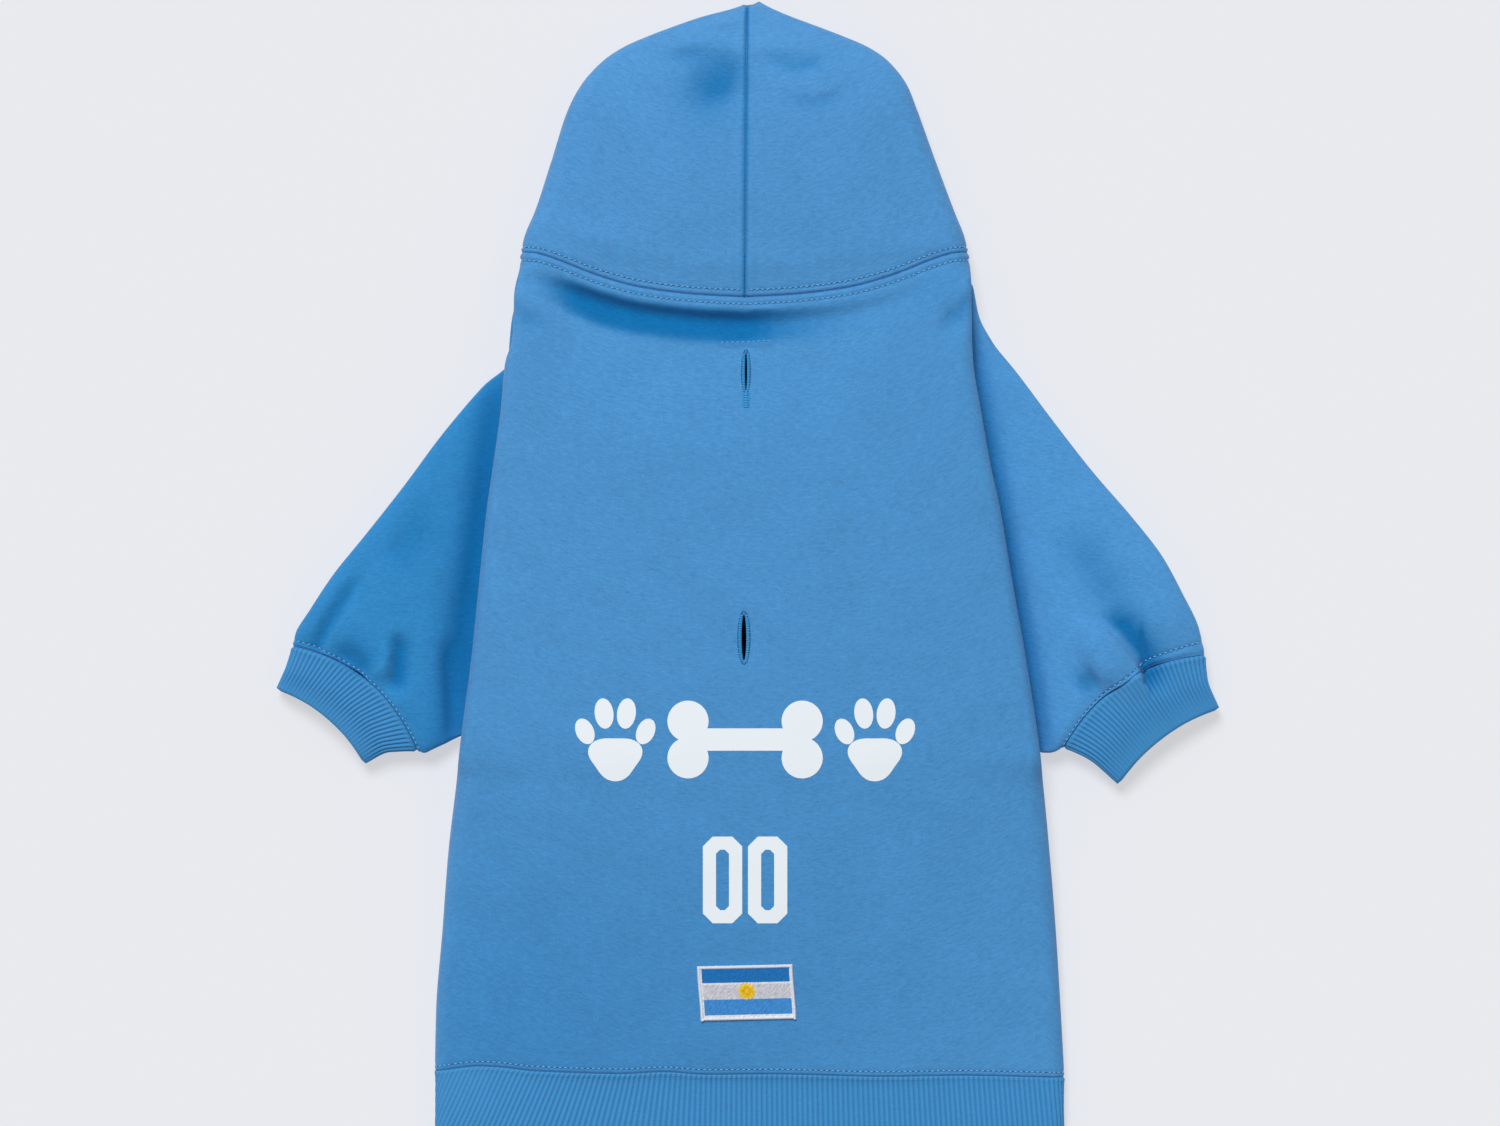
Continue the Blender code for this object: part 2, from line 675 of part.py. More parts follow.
def flag_patch():
    """A small embroidered patch that follows the back."""
    u = np.linspace(-0.5, 0.5, 9)[None, :] * PATCH_WIDTH
    v = np.linspace(0.5, -0.5, 6)[:, None] * PATCH_HEIGHT
    cosine, sine = math.cos(PATCH_TILT), math.sin(PATCH_TILT)
    x = PATCH_PLACE[0] + u * cosine - v * sine
    y = NECK_Y - BACK_LENGTH * PATCH_PLACE[1] + u * sine + v * cosine
    z = back_height(x, y) + SEAM_GAP
    lower = np.stack([x, y, z], axis=-1)
    upper = np.stack([x, y, z + PATCH_THICKNESS], axis=-1)
    return solid_from_walls("flag_patch", upper, lower)


def cut_slit(panel, name, place, length, width, collection):
    """A lens-shaped leash hole through the back, cut by an upright ellipse."""
    bpy.ops.mesh.primitive_cylinder_add(vertices=14, radius=0.5, depth=1)
    cutter = bpy.context.object
    cutter.name = name
    for owner in list(cutter.users_collection):
        owner.objects.unlink(cutter)
    collection.objects.link(cutter)
    y = NECK_Y - BACK_LENGTH * place[1]
    height = float(back_height(np.array(place[0]), np.array(y)))
    for vertex in cutter.data.vertices:
        vertex.co.x = vertex.co.x * width + place[0]
        vertex.co.y = vertex.co.y * length + y
        vertex.co.z = vertex.co.z * 5 * FLEECE_WALL + height
    cutter.hide_render = True
    cutter.display_type = "WIRE"
    boolean = panel.modifiers.new(name, "BOOLEAN")
    boolean.operation = "DIFFERENCE"
    boolean.solver = "EXACT"
    boolean.object = cutter


def cloth(name, color):
    """A rough cloth in one colour."""
    material = bpy.data.materials.new(name)
    material.use_nodes = True
    shader = material.node_tree.nodes["Principled BSDF"]
    shader.inputs["Base Color"].default_value = (*color, 1)
    shader.inputs["Roughness"].default_value = 0.9
    shader.inputs["Metallic"].default_value = 0
    return material


def new_collection(name):
    collection = bpy.data.collections.new(name)
    bpy.context.scene.collection.children.link(collection)
    return collection


def main():
    for old in list(bpy.data.objects):
        bpy.data.objects.remove(old, do_unlink=True)
    hoodie = new_collection("dog_hoodie")
    cutters = new_collection("cutters")
    back = back_panel()
    pieces = [(back, "fleece")]
    for side in (LEFT, RIGHT):
        pieces.append((hood_half(side), "fleece"))
        pieces.append((sleeve(side), "sleeve_fleece"))
        pieces.append((cuff(side), "rib_knit"))
    pieces.append((belly_panel(), "fleece"))
    pieces.append((hem_band(), "rib_knit"))
    pieces.append((flag_patch(), "patch_thread"))
    for piece, finish in pieces:
        hoodie.objects.link(piece)
        piece.data.materials.append(cloth(f"{piece.name}_{finish}", CLOTH_COLORS[finish]))
        piece.data.shade_smooth()
        piece.data.set_sharp_from_angle(angle=math.radians(50))
    cut_slit(
        back, "upper_slit", UPPER_SLIT_PLACE, UPPER_SLIT_LENGTH, UPPER_SLIT_WIDTH, cutters
    )
    cut_slit(
        back, "lower_slit", LOWER_SLIT_PLACE, LOWER_SLIT_LENGTH, LOWER_SLIT_WIDTH, cutters
    )


main()
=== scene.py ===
"""A fleece dog hoodie laid flat with its back upwards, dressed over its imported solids.

Metres, +Z up, +Y towards the hood and +X to the garment's right as seen from above. Each panel is
a wall of cloth worked out from two parameters, u across or round it and v along it, by the same
sections as its solid. Folds, seams and ribs are added as a height along the cloth's own normal.
"""

import logging
import math
from dataclasses import dataclass, field
from enum import Enum
from typing import Any, Optional, Sequence, Union

import bmesh
import bpy
import numpy as np
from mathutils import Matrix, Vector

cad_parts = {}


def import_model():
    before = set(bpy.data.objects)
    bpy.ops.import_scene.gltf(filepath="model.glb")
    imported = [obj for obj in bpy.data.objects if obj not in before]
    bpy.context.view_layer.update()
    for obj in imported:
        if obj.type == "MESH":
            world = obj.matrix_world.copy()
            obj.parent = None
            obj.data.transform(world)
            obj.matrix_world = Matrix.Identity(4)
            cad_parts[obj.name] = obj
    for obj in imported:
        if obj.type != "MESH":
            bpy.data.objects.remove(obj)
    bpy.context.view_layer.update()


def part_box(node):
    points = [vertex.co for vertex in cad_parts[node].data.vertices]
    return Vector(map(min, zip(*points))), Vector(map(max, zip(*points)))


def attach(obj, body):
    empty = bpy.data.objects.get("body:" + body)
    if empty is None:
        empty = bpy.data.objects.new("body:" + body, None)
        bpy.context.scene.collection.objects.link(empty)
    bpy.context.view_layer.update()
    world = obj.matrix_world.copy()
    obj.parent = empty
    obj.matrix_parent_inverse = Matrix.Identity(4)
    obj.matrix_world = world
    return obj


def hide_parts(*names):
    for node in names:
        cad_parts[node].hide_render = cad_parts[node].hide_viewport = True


LOG = logging.getLogger("dog_hoodie")
BODY = "root"

Array = np.ndarray
Number = Union[float, int]
Colour = tuple[float, float, float]
Piece = bpy.types.Object
Finish = bpy.types.Material

MM = 0.001
TINY = 1e-9
MERGE = 1e-6
WAVER_RUN = 14 * MM
WAVER_INNER = 0.3


class Side(Enum):
    """A half of the garment, as the sign of its X."""

    LEFT = -1
    RIGHT = 1

    @property
    def word(self) -> str:
        """The side's name in lower case."""
        return self.name.lower()


class Slot(Enum):
    """The record's material slots."""

    FLEECE = "fleece"
    RIB = "rib_knit"
    PATCH = "patch_thread"
    THREAD = "sewing_thread"
    FILM = "print_film"


@dataclass(frozen=True)
class Rows:
    """A table with named columns, the first of them in rising order.

    Args:
        names: the columns' names.
        lines: the rows.
    """

    names: tuple[str, ...]
    lines: tuple[tuple[float, ...], ...]

    def read(self, name: str, at: Array) -> Array:
        """One column on a smooth curve of cubic pieces that doesn't overshoot.

        Args:
            name: the column.
            at: places along the first column.

        Returns:
            The column's values there.
        """
        table = np.array(self.lines, float)
        x = table[:, 0]
        y = table[:, self.names.index(name)]
        step = np.diff(x)
        slope = np.diff(y) / step
        same_way = slope[:-1] * slope[1:] > 0
        mean = 2 * slope[:-1] * slope[1:] / np.where(same_way, slope[:-1] + slope[1:], 1)
        tangent = np.concatenate([slope[:1], np.where(same_way, mean, 0), slope[-1:]])
        at = np.asarray(at, float)
        left = np.clip(np.searchsorted(x, at, side="right") - 1, 0, len(step) - 1)
        run = step[left]
        s = np.clip((at - x[left]) / run, 0, 1)
        return (
            y[left] * (1 + 2 * s) * (1 - s) ** 2
            + tangent[left] * run * s * (1 - s) ** 2
            + y[left + 1] * s**2 * (3 - 2 * s)
            - tangent[left + 1] * run * s**2 * (1 - s)
        )


def smooth(value: Array) -> Array:
    """A smooth step from 0 to 1."""
    s = np.clip(value, 0, 1)
    return s * s * (3 - 2 * s)


def bell(distance: Array, width: Union[Array, float]) -> Array:
    """A Gaussian of the distance, 1 at 0 and about a third at one width."""
    return np.exp(-((distance / width) ** 2))


def unit(vectors: Array) -> Array:
    """The vectors at length 1."""
    return vectors / np.maximum(np.linalg.norm(vectors, axis=-1, keepdims=True), TINY)


def pair(u: Any, v: Any) -> tuple[Array, Array]:
    """Both parameters as arrays of one shape."""
    return np.broadcast_arrays(np.asarray(u, float), np.asarray(v, float))


def joined(*parts: Array) -> Array:
    """Coordinates as one array of points."""
    return np.stack(parts, axis=-1)


def turned(degrees: float) -> tuple[float, float]:
    """The cosine and the sine of an angle."""
    return math.cos(math.radians(degrees)), math.sin(math.radians(degrees))


@dataclass(frozen=True)
class Dent:
    """A soft hollow or swell: a Gaussian on a turned ellipse in the panel's own shares.

    Args:
        across: its place across the panel.
        along: its place along the panel.
        wide: its spread across.
        long: its spread along.
        height: its height as a share of the panel's loft.
        turn: the turn of its long axis in degrees.
    """

    across: float
    along: float
    wide: float
    long: float
    height: float
    turn: float = 0.0

    def rise(self, across: Array, along: Array) -> Array:
        """Its height at places across and along the panel."""
        cosine, sine = turned(self.turn)
        x = (across - self.across) / self.wide
        y = (along - self.along) / self.long
        return self.height * np.exp(-((x * cosine + y * sine) ** 2) - (y * cosine - x * sine) ** 2)


@dataclass(frozen=True)
class Fold:
    """A ridge or a crease along a line of plan points.

    Its section is a Gaussian with a width of its own on either side, and it grows from nothing at
    both ends of the line.

    Args:
        line: points as shares of the panel's box, rightwards and downwards.
        height: its height in millimetres, below 0 for a crease.
        left: its width on the left of its way, in millimetres.
        right: its width on the right of its way.
        grows: the share of the line over which it grows.
        fades: the share of the line over which it fades, or 0 where it ends at full height.
    """

    line: tuple[tuple[float, float], ...]
    height: float
    left: float
    right: float
    grows: float = 0.5
    fades: float = 0.3

    def rise(self, plan: Array, low: Array, high: Array) -> Array:
        """Its height over plan points.

        Args:
            plan: X and Y of the cloth.
            low: the panel's lowest corner.
            high: the panel's highest corner.

        Returns:
            The height at each point, from the distance to the nearest stretch of the line.
        """
        shares = np.array(self.line)
        knots = joined(
            low[0] + (high[0] - low[0]) * shares[:, 0], high[1] - (high[1] - low[1]) * shares[:, 1]
        )
        nearest = np.full(plan.shape[:-1], np.inf)
        hand = np.zeros_like(nearest)
        run = np.zeros_like(nearest)
        before = 0.0
        for start, end in zip(knots[:-1], knots[1:]):
            way = end - start
            length = float(np.linalg.norm(way))
            t = np.clip((plan - start) @ way / length**2, 0, 1)
            off = plan - start - t[..., None] * way
            distance = np.linalg.norm(off, axis=-1)
            nearer = distance < nearest
            nearest = np.where(nearer, distance, nearest)
            hand = np.where(nearer, way[0] * off[..., 1] - way[1] * off[..., 0], hand)
            run = np.where(nearer, before + t * length, run)
            before += length
        share = run / before
        grown = smooth(share / max(self.grows, TINY))
        if self.fades:
            grown = grown * smooth((1 - share) / self.fades)
        width = np.where(hand > 0, self.left, self.right) * MM
        return self.height * MM * grown * bell(nearest, width)


@dataclass(frozen=True)
class Fall:
    """The cloth's drop from the stiff neck seam to the back, which it regains further down, with the
    painted shade that darkens the drop.

    Args:
        depth: how far it drops.
        starts: the distance below the seam where it begins.
        length: the distance over which it drops.
        regain: the distance over which it comes back.
        left: the place across where it begins.
        grow: the width over which it grows from there.
        right: the place across where it is gone.
        goes: the width over which it goes there.
        fades: the place across where it begins to fade.
        fade: the width of the fade.
        kept: the share that is kept past the fade.
        shade_to: how far below the seam the painted shade stays at full strength.
        shade_starts: how far below the drop's upper edge the painted shade begins.
        shade_grows: the distance over which it grows to full strength.
        shade_ends: the distance over which it ends.
        shade_fades: the share of it that is gone past the fade.
        early: the share of shade_to at which it ends on the left.
        early_width: the width over which that share grows to 1.
    """

    depth: float = 3.8 * MM
    starts: float = 4.0 * MM
    length: float = 14.0 * MM
    regain: float = 55.0 * MM
    left: float = -0.99
    grow: float = 0.22
    right: float = 1.02
    goes: float = 0.2
    fades: float = -0.12
    fade: float = 0.72
    kept: float = 0.32
    shade_to: float = 14.5 * MM
    shade_starts: float = 0.6 * MM
    shade_grows: float = 3.4 * MM
    shade_ends: float = 9.5 * MM
    shade_fades: float = 0.93
    early: float = 0.62
    early_width: float = 0.38

    def rise(self, across: Array, down: Array) -> Array:
        """Its height at a place across the back and a distance below the seam."""
        drop = smooth((down - self.starts) / self.length)
        back = 1 - smooth((down - self.starts - self.length) / self.regain)
        reach = smooth((across - self.left) / self.grow)
        reach = reach * (1 - (1 - self.kept) * smooth((across - self.fades) / self.fade))
        return -self.depth * drop * back * reach * smooth((self.right - across) / self.goes)

    def hollow(self, across: Array, down: Array) -> Array:
        """The painted shade in the fall, from 0 to 1."""
        reach = smooth((across - self.left) / self.grow)
        reach = reach * (1 - self.shade_fades * smooth((across - self.fades) / self.fade))
        into = smooth((down - self.starts - self.shade_starts) / self.shade_grows)
        late = (1 - self.early) * smooth((across - self.left) / self.early_width)
        ends = self.shade_to * (self.early + late)
        return reach * into * (1 - smooth((down - ends) / self.shade_ends))


@dataclass(frozen=True)
class Ripple:
    """The faint unevenness of cloth that lies loose: a sum of long waves in all directions.

    Args:
        amount: the largest height in metres.
        shortest: the shortest wave's length.
        longest: the longest wave's length.
        waves: how many waves are summed.
        seed: the seed of their directions and phases.
    """

    amount: float
    shortest: float = 0.022
    longest: float = 0.075
    waves: int = 9
    seed: int = 3

    def rise(self, plan: Array) -> Array:
        """Its height over plan points."""
        draw = np.random.default_rng(self.seed)
        total = np.zeros(plan.shape[:-1])
        for length in np.geomspace(self.shortest, self.longest, self.waves):
            turn, phase = draw.uniform(0, 2 * np.pi, 2)
            along = plan[..., 0] * math.cos(turn) + plan[..., 1] * math.sin(turn)
            total = total + length / self.longest * np.sin(2 * np.pi * along / length + phase)
        return self.amount * total / self.waves


@dataclass(frozen=True)
class Pattern:
    """The sizes that the hoodie is cut and laid to."""

    hood_height: float = 0.1341
    back_length: float = 0.3488
    hem_depth: float = 0.0355
    neck_width: float = 0.2012
    hem_width: float = 0.2838
    neck_bow: float = 0.0207
    neck_shift: float = -0.00225
    body_loft: float = 0.036
    hood_loft: float = 0.028
    armhole_length: float = 0.2097
    armhole_top_inset: float = 0.0175
    armhole_drop: float = 0.0135
    hem_seam_inset: float = 0.0200
    sleeve_reach: float = 0.1036
    sleeve_loft: float = 0.020
    sleeve_root: float = 0.65
    cuff_depth: float = 0.020
    cuff_seam_bow: float = 0.0100
    cuff_mouth_bow: float = 0.0044
    face_opening_width: float = 0.112
    peak_lean: float = -0.0011
    peak_step: float = 0.0014
    hem_slant: float = 0.0018
    fleece_wall: float = 0.0020
    rib_wall: float = 0.0024
    seam_gap: float = 0.0003
    drawn_gap: float = 0.00003
    roof_start: float = 0.70
    roof_full: float = 0.05
    roof_leaves: float = 0.009
    roof_ends: float = 0.045
    crown_power: float = 2.3
    tube_power: float = 0.5
    stitch_pitch: float = 0.0031

    @property
    def total_length(self) -> float:
        """From the hood's peak to the hem's edge."""
        return self.hood_height + self.back_length + self.hem_depth

    @property
    def neck_y(self) -> float:
        """The neck seam's lowest point, at the middle of the back."""
        return self.total_length / 2 - self.hood_height

    @property
    def corner_y(self) -> float:
        """The neck seam's two ends."""
        return self.neck_y + self.neck_bow

    @property
    def hem_y(self) -> float:
        """The hem seam."""
        return self.hem_depth - self.total_length / 2

    @property
    def armhole_top_y(self) -> float:
        """The armhole's upper end."""
        return self.corner_y - self.armhole_drop

    @property
    def armhole_bottom_y(self) -> float:
        """The armhole's lower end."""
        return self.armhole_top_y - self.armhole_length

    @property
    def sleeve_roof(self) -> float:
        """The height of the sleeve where it lies under the back."""
        return self.sleeve_loft * self.sleeve_root + 2 * self.seam_gap

    def side_seam(self, side: int, y: Array) -> Array:
        """X of the armhole and side seam, a straight line from the armhole's top to the hem."""
        top = side * (self.neck_width / 2 - self.armhole_top_inset) + self.neck_shift
        bottom = side * (self.hem_width / 2 - self.hem_seam_inset)
        share = (self.armhole_top_y - y) / (self.armhole_top_y - self.hem_y)
        return top + (bottom - top) * share


NECK_CURVE = Rows(
    ("across", "rise"),
    ((0, 0), (0.22, 0.06), (0.46, 0.21), (0.61, 0.4), (0.72, 0.59), (0.82, 0.79), (0.93, 0.96), (1, 1)),
)

BODY_ROWS = Rows(
    ("down", "left", "right", "crown", "side"),
    (
        (0, 0, 0, 0.69, 0.55),
        (0.02, 0.017, 0.021, 0.72, 0.57),
        (0.05, 0.074, 0.033, 0.78, 0.64),
        (0.1, 0.092, 0.036, 0.86, 0.7),
        (0.13, 0.178, 0.05, 0.89, 0.715),
        (0.18, 0.222, 0.12, 0.925, 0.725),
        (0.25, 0.314, 0.228, 0.96, 0.735),
        (0.3, 0.385, 0.323, 0.98, 0.74),
        (0.4, 0.485, 0.47, 1, 0.74),
        (0.48, 0.563, 0.591, 0.99, 0.73),
        (0.58, 0.686, 0.722, 0.95, 0.7),
        (0.64, 0.751, 0.78, 0.9, 0.64),
        (0.72, 0.839, 0.845, 0.82, 0.54),
        (0.82, 0.91, 0.912, 0.71, 0.45),
        (0.92, 0.983, 0.964, 0.59, 0.39),
        (1, 1, 1, 0.5, 0.345),
    ),
)

HOOD_ROWS = Rows(
    ("up", "middle", "fold", "left", "right", "crown", "side", "face"),
    (
        (0, 0, 0, 1, 1, 0.887, 0.707, 0),
        (0.05, 0.062, 0.056, 0.988, 0.985, 0.92, 0.72, 0.3),
        (0.15, 0.178, 0.167, 0.938, 0.935, 0.975, 0.735, 0.72),
        (0.3, 0.379, 0.365, 0.867, 0.85, 1, 0.73, 1),
        (0.45, 0.574, 0.563, 0.797, 0.768, 0.96, 0.7, 0.98),
        (0.55, 0.681, 0.663, 0.739, 0.722, 0.89, 0.65, 0.86),
        (0.65, 0.779, 0.762, 0.64, 0.634, 0.79, 0.58, 0.6),
        (0.72, 0.828, 0.815, 0.553, 0.548, 0.71, 0.52, 0),
        (0.79, 0.872, 0.86, 0.442, 0.433, 0.6, 0.45, 0),
        (0.85, 0.905, 0.894, 0.344, 0.334, 0.51, 0.39, 0),
        (0.91, 0.942, 0.936, 0.212, 0.208, 0.42, 0.33, 0),
        (0.96, 0.972, 0.974, 0.085, 0.108, 0.34, 0.28, 0),
        (1, 0.988, 1, 0.016, 0.055, 0.25, 0.25, 0),
    ),
)
HOOD_CLOSES = 0.97
HOOD_LIFTS = 0.06

SLEEVE_NAMES = ("along", "outer_out", "outer_down", "inner_out", "inner_down", "outer_loft", "inner_loft")
SLEEVE_ROWS = {
    Side.LEFT: Rows(
        SLEEVE_NAMES,
        (
            (0, 0, 0, 0, 1, 0.65, 0.65),
            (0.12, 0.159, 0.009, 0.07, 0.998, 0.6, 0.65),
            (0.22, 0.195, 0.092, 0.11, 0.991, 0.56, 0.65),
            (0.3, 0.193, 0.172, 0.151, 0.985, 0.56, 0.65),
            (0.36, 0.286, 0.221, 0.187, 0.979, 0.6, 0.65),
            (0.45, 0.447, 0.328, 0.218, 0.974, 0.72, 0.67),
            (0.55, 0.586, 0.436, 0.256, 0.981, 0.85, 0.72),
            (0.65, 0.734, 0.543, 0.285, 0.989, 0.95, 0.78),
            (0.75, 0.856, 0.629, 0.314, 0.996, 1, 0.82),
            (0.85, 0.941, 0.704, 0.347, 1.004, 1, 0.84),
            (0.93, 0.992, 0.753, 0.38, 1.011, 0.92, 0.82),
            (1, 1, 0.781, 0.411, 1.006, 0.8, 0.8),
        ),
    ),
    Side.RIGHT: Rows(
        SLEEVE_NAMES,
        (
            (0, 0, 0, 0, 1, 0.65, 0.65),
            (0.12, 0.186, 0.004, 0.071, 1, 0.6, 0.65),
            (0.22, 0.201, 0.071, 0.115, 0.998, 0.56, 0.65),
            (0.3, 0.248, 0.129, 0.154, 0.998, 0.56, 0.65),
            (0.36, 0.334, 0.191, 0.189, 1, 0.6, 0.65),
            (0.45, 0.463, 0.292, 0.218, 1.004, 0.72, 0.67),
            (0.55, 0.615, 0.406, 0.243, 1.009, 0.85, 0.72),
            (0.65, 0.766, 0.506, 0.265, 1.011, 0.95, 0.78),
            (0.75, 0.877, 0.59, 0.287, 1.011, 1, 0.82),
            (0.85, 0.946, 0.67, 0.308, 1.009, 1, 0.84),
            (0.93, 0.999, 0.743, 0.33, 1.004, 0.92, 0.82),
            (1, 1.012, 0.8, 0.35, 0.998, 0.8, 0.8),
        ),
    ),
}

CUFF_NAMES = ("along", "outer_out", "outer_down", "inner_out", "inner_down", "loft")
CUFF_ROWS = {
    Side.LEFT: Rows(
        CUFF_NAMES,
        ((0, 0, 0, 0, 0, 0.8), (0.5, 0.16, 0.5, 0.63, 0.03, 0.8), (1, 0.37, 0.945, 1.17, 0.29, 0.68)),
    ),
    Side.RIGHT: Rows(
        CUFF_NAMES,
        ((0, 0, 0, 0, 0, 0.8), (0.5, 0.06, 0.56, 0.6, 0.29, 0.8), (1, 0.326, 1.19, 1.226, 0.833, 0.68)),
    ),
}

HEM_ROWS = Rows(
    ("down", "width", "crown", "side"),
    (
        (0, 1, 0.5, 0.345),
        (0.12, 0.998, 0.465, 0.35),
        (0.5, 0.998, 0.445, 0.36),
        (0.9, 1, 0.425, 0.35),
        (1, 1, 0.4, 0.335),
    ),
)

# How the hem seam wavers, as a share of the hem's depth, against the share of the half width
HEM_WAVER = Rows(
    ("across", "rise"),
    (
        (-1, -0.028),
        (-0.85, 0.05),
        (-0.8, 0.044),
        (-0.68, 0),
        (-0.42, -0.018),
        (-0.26, 0.016),
        (-0.15, -0.01),
        (0.1, 0.006),
        (0.4, -0.01),
        (0.7, 0.014),
        (1, -0.006),
    ),
)

# The slope of the hem's ribs from the upright, against the place round half the band
HEM_LEAN = Rows(
    ("round", "slope"),
    (
        (-1, 0),
        (-0.75, 0.25),
        (-0.5, 0.52),
        (-0.36, 0.48),
        (-0.2, 0.25),
        (-0.06, 0.02),
        (0.1, -0.02),
        (0.5, -0.09),
        (0.75, -0.04),
        (1, 0),
    ),
)

BACK_DENTS = (
    Dent(-0.62, 0.034, 0.360, 0.0130, -0.150),
    Dent(-0.10, 0.036, 0.300, 0.0130, -0.120),
    Dent(0.40, 0.034, 0.300, 0.0120, -0.060),
    Dent(0.91, 0.075, 0.060, 0.0300, -0.070, 35.0),
    Dent(-0.45, 0.200, 0.350, 0.0900, 0.020),
    Dent(0.45, 0.300, 0.350, 0.1200, 0.015),
    Dent(0.00, 0.640, 0.550, 0.0700, -0.015),
)
HOOD_DENTS = (
    Dent(-0.22, 0.585, 0.170, 0.1250, -0.165, 14.0),
    Dent(-0.43, 0.690, 0.150, 0.0450, -0.090, -10.0),
    Dent(0.30, 0.670, 0.240, 0.0450, -0.060, -20.0),
    Dent(-0.30, 0.880, 0.250, 0.0300, 0.050),
    Dent(-0.72, 0.110, 0.160, 0.0350, 0.040, 20.0),
    Dent(0.02, 0.090, 0.600, 0.0350, 0.020),
)
SLEEVE_DENTS = {
    Side.LEFT: (
        Dent(0.30, 0.930, 0.130, 0.0600, -0.090),
        Dent(0.13, 0.860, 0.070, 0.1200, -0.080),
        Dent(0.58, 0.900, 0.070, 0.1000, -0.080),
    ),
    Side.RIGHT: (Dent(0.52, 0.840, 0.080, 0.2000, 0.130), Dent(0.39, 0.920, 0.070, 0.0900, -0.120)),
}

# Finer folds than the solids hold, in shares of each panel's box
BACK_FOLDS = (
    Fold(((0.895, 0.034), (0.850, 0.062), (0.800, 0.096)), -1.6, 4.5, 3.0),
    Fold(((0.060, 0.050), (0.120, 0.068), (0.190, 0.094)), -1.1, 3.0, 5.0),
)
HOOD_FOLDS = {
    Side.LEFT: (
        Fold(((0.72, 0.34), (0.90, 0.30), (0.97, 0.16)), -0.9, 7.0, 5.0),
        Fold(((0.05, 0.86), (0.18, 0.84), (0.40, 0.90)), 0.7, 5.0, 4.0),
    ),
    Side.RIGHT: (
        Fold(((0.10, 0.19), (0.22, 0.23), (0.38, 0.20)), -0.8, 2.0, 4.0),
        Fold(((0.14, 0.31), (0.30, 0.35), (0.46, 0.31)), -0.7, 2.0, 4.5),
        Fold(((0.60, 0.86), (0.78, 0.84), (0.93, 0.80)), 0.6, 5.0, 4.0),
    ),
}
SLEEVE_FOLDS = {
    Side.LEFT: (
        Fold(((0.290, 0.590), (0.193, 0.676), (0.141, 0.722), (0.078, 0.790)),
             -2.5, 2.4, 4.2, 0.45, 0.08),
        Fold(((0.110, 0.786), (0.216, 0.800), (0.310, 0.841)), -2.2, 9.0, 4.0),
        Fold(((0.385, 0.735), (0.403, 0.780), (0.399, 0.828), (0.380, 0.880)),
             -2.8, 4.6, 3.4, 0.3, 0.25),
        Fold(((0.345, 0.745), (0.350, 0.800), (0.330, 0.850)), 1.0, 3.0, 5.0),
        Fold(((0.800, 0.120), (0.776, 0.208), (0.724, 0.463), (0.664, 0.718), (0.627, 0.962)),
             -3.6, 7.0, 9.5, 0.2, 0.0),
        Fold(((0.575, 0.735), (0.590, 0.830), (0.615, 0.950)), -1.8, 5.0, 4.0,
             0.35, 0.0),
        Fold(((0.560, 0.430), (0.420, 0.560), (0.330, 0.620)), -1.3, 11.0, 9.0),
    ),
    Side.RIGHT: (
        Fold(((0.520, 0.716), (0.576, 0.732), (0.637, 0.747), (0.695, 0.779), (0.746, 0.811),
              (0.768, 0.843)), 4.0, 1.4, 13.0, 0.30, 0.0),
        Fold(((0.600, 0.690), (0.700, 0.735), (0.771, 0.792), (0.788, 0.845)),
             -3.3, 9.0, 2.4, 0.38, 0.0),
        Fold(((0.768, 0.700), (0.771, 0.781), (0.775, 0.835)), -1.4, 1.3, 1.3),
        Fold(((0.525, 0.880), (0.568, 0.853), (0.619, 0.836)), -1.8, 6.0, 5.0),
        Fold(((0.400, 0.520), (0.565, 0.580), (0.637, 0.650), (0.720, 0.710)),
             -1.15, 10.0, 9.0),
        Fold(((0.130, 0.020), (0.172, 0.178), (0.268, 0.488), (0.318, 0.658), (0.382, 0.868),
              (0.405, 0.980)), -2.2, 4.5, 5.5, 0.15, 0.0),
    ),
}


def object_of(
    name: str, points: Array, faces: Sequence[Array], maps: Optional[Sequence[Array]] = None
) -> Piece:
    """A mesh object with its place in its mesh.

    Args:
        name: the piece's name.
        points: the vertices.
        faces: blocks of vertex numbers, each block with one number of corners.
        maps: for each block and corner, two parts for the UV map "cloth", in metres along the
        cloth, and where there are four, two for the map "lie", whose first part is painted shade.

    Returns:
        The object, linked to the scene.
    """
    mesh = bpy.data.meshes.new(name)
    mesh.vertices.add(len(points))
    mesh.vertices.foreach_set("co", points.astype(np.float32).ravel())
    sizes = np.concatenate([np.full(len(block), block.shape[1]) for block in faces])
    corners = np.concatenate([block.ravel() for block in faces])
    mesh.loops.add(len(corners))
    mesh.loops.foreach_set("vertex_index", corners.astype(np.int32))
    mesh.polygons.add(len(sizes))
    starts = np.concatenate([[0], np.cumsum(sizes)[:-1]])
    mesh.polygons.foreach_set("loop_start", starts.astype(np.int32))
    mesh.update(calc_edges=True)
    if maps is not None:
        flat = np.concatenate([block.reshape(-1, block.shape[-1]) for block in maps])
        for first, layer_name in enumerate(("cloth", "lie")[: flat.shape[1] // 2]):
            layer = mesh.uv_layers.new(name=layer_name)
            pair = flat[:, 2 * first : 2 * first + 2].astype(np.float32)
            layer.data.foreach_set("uv", np.ascontiguousarray(pair).ravel())
    piece = bpy.data.objects.new(name, mesh)
    bpy.context.scene.collection.objects.link(piece)
    return piece


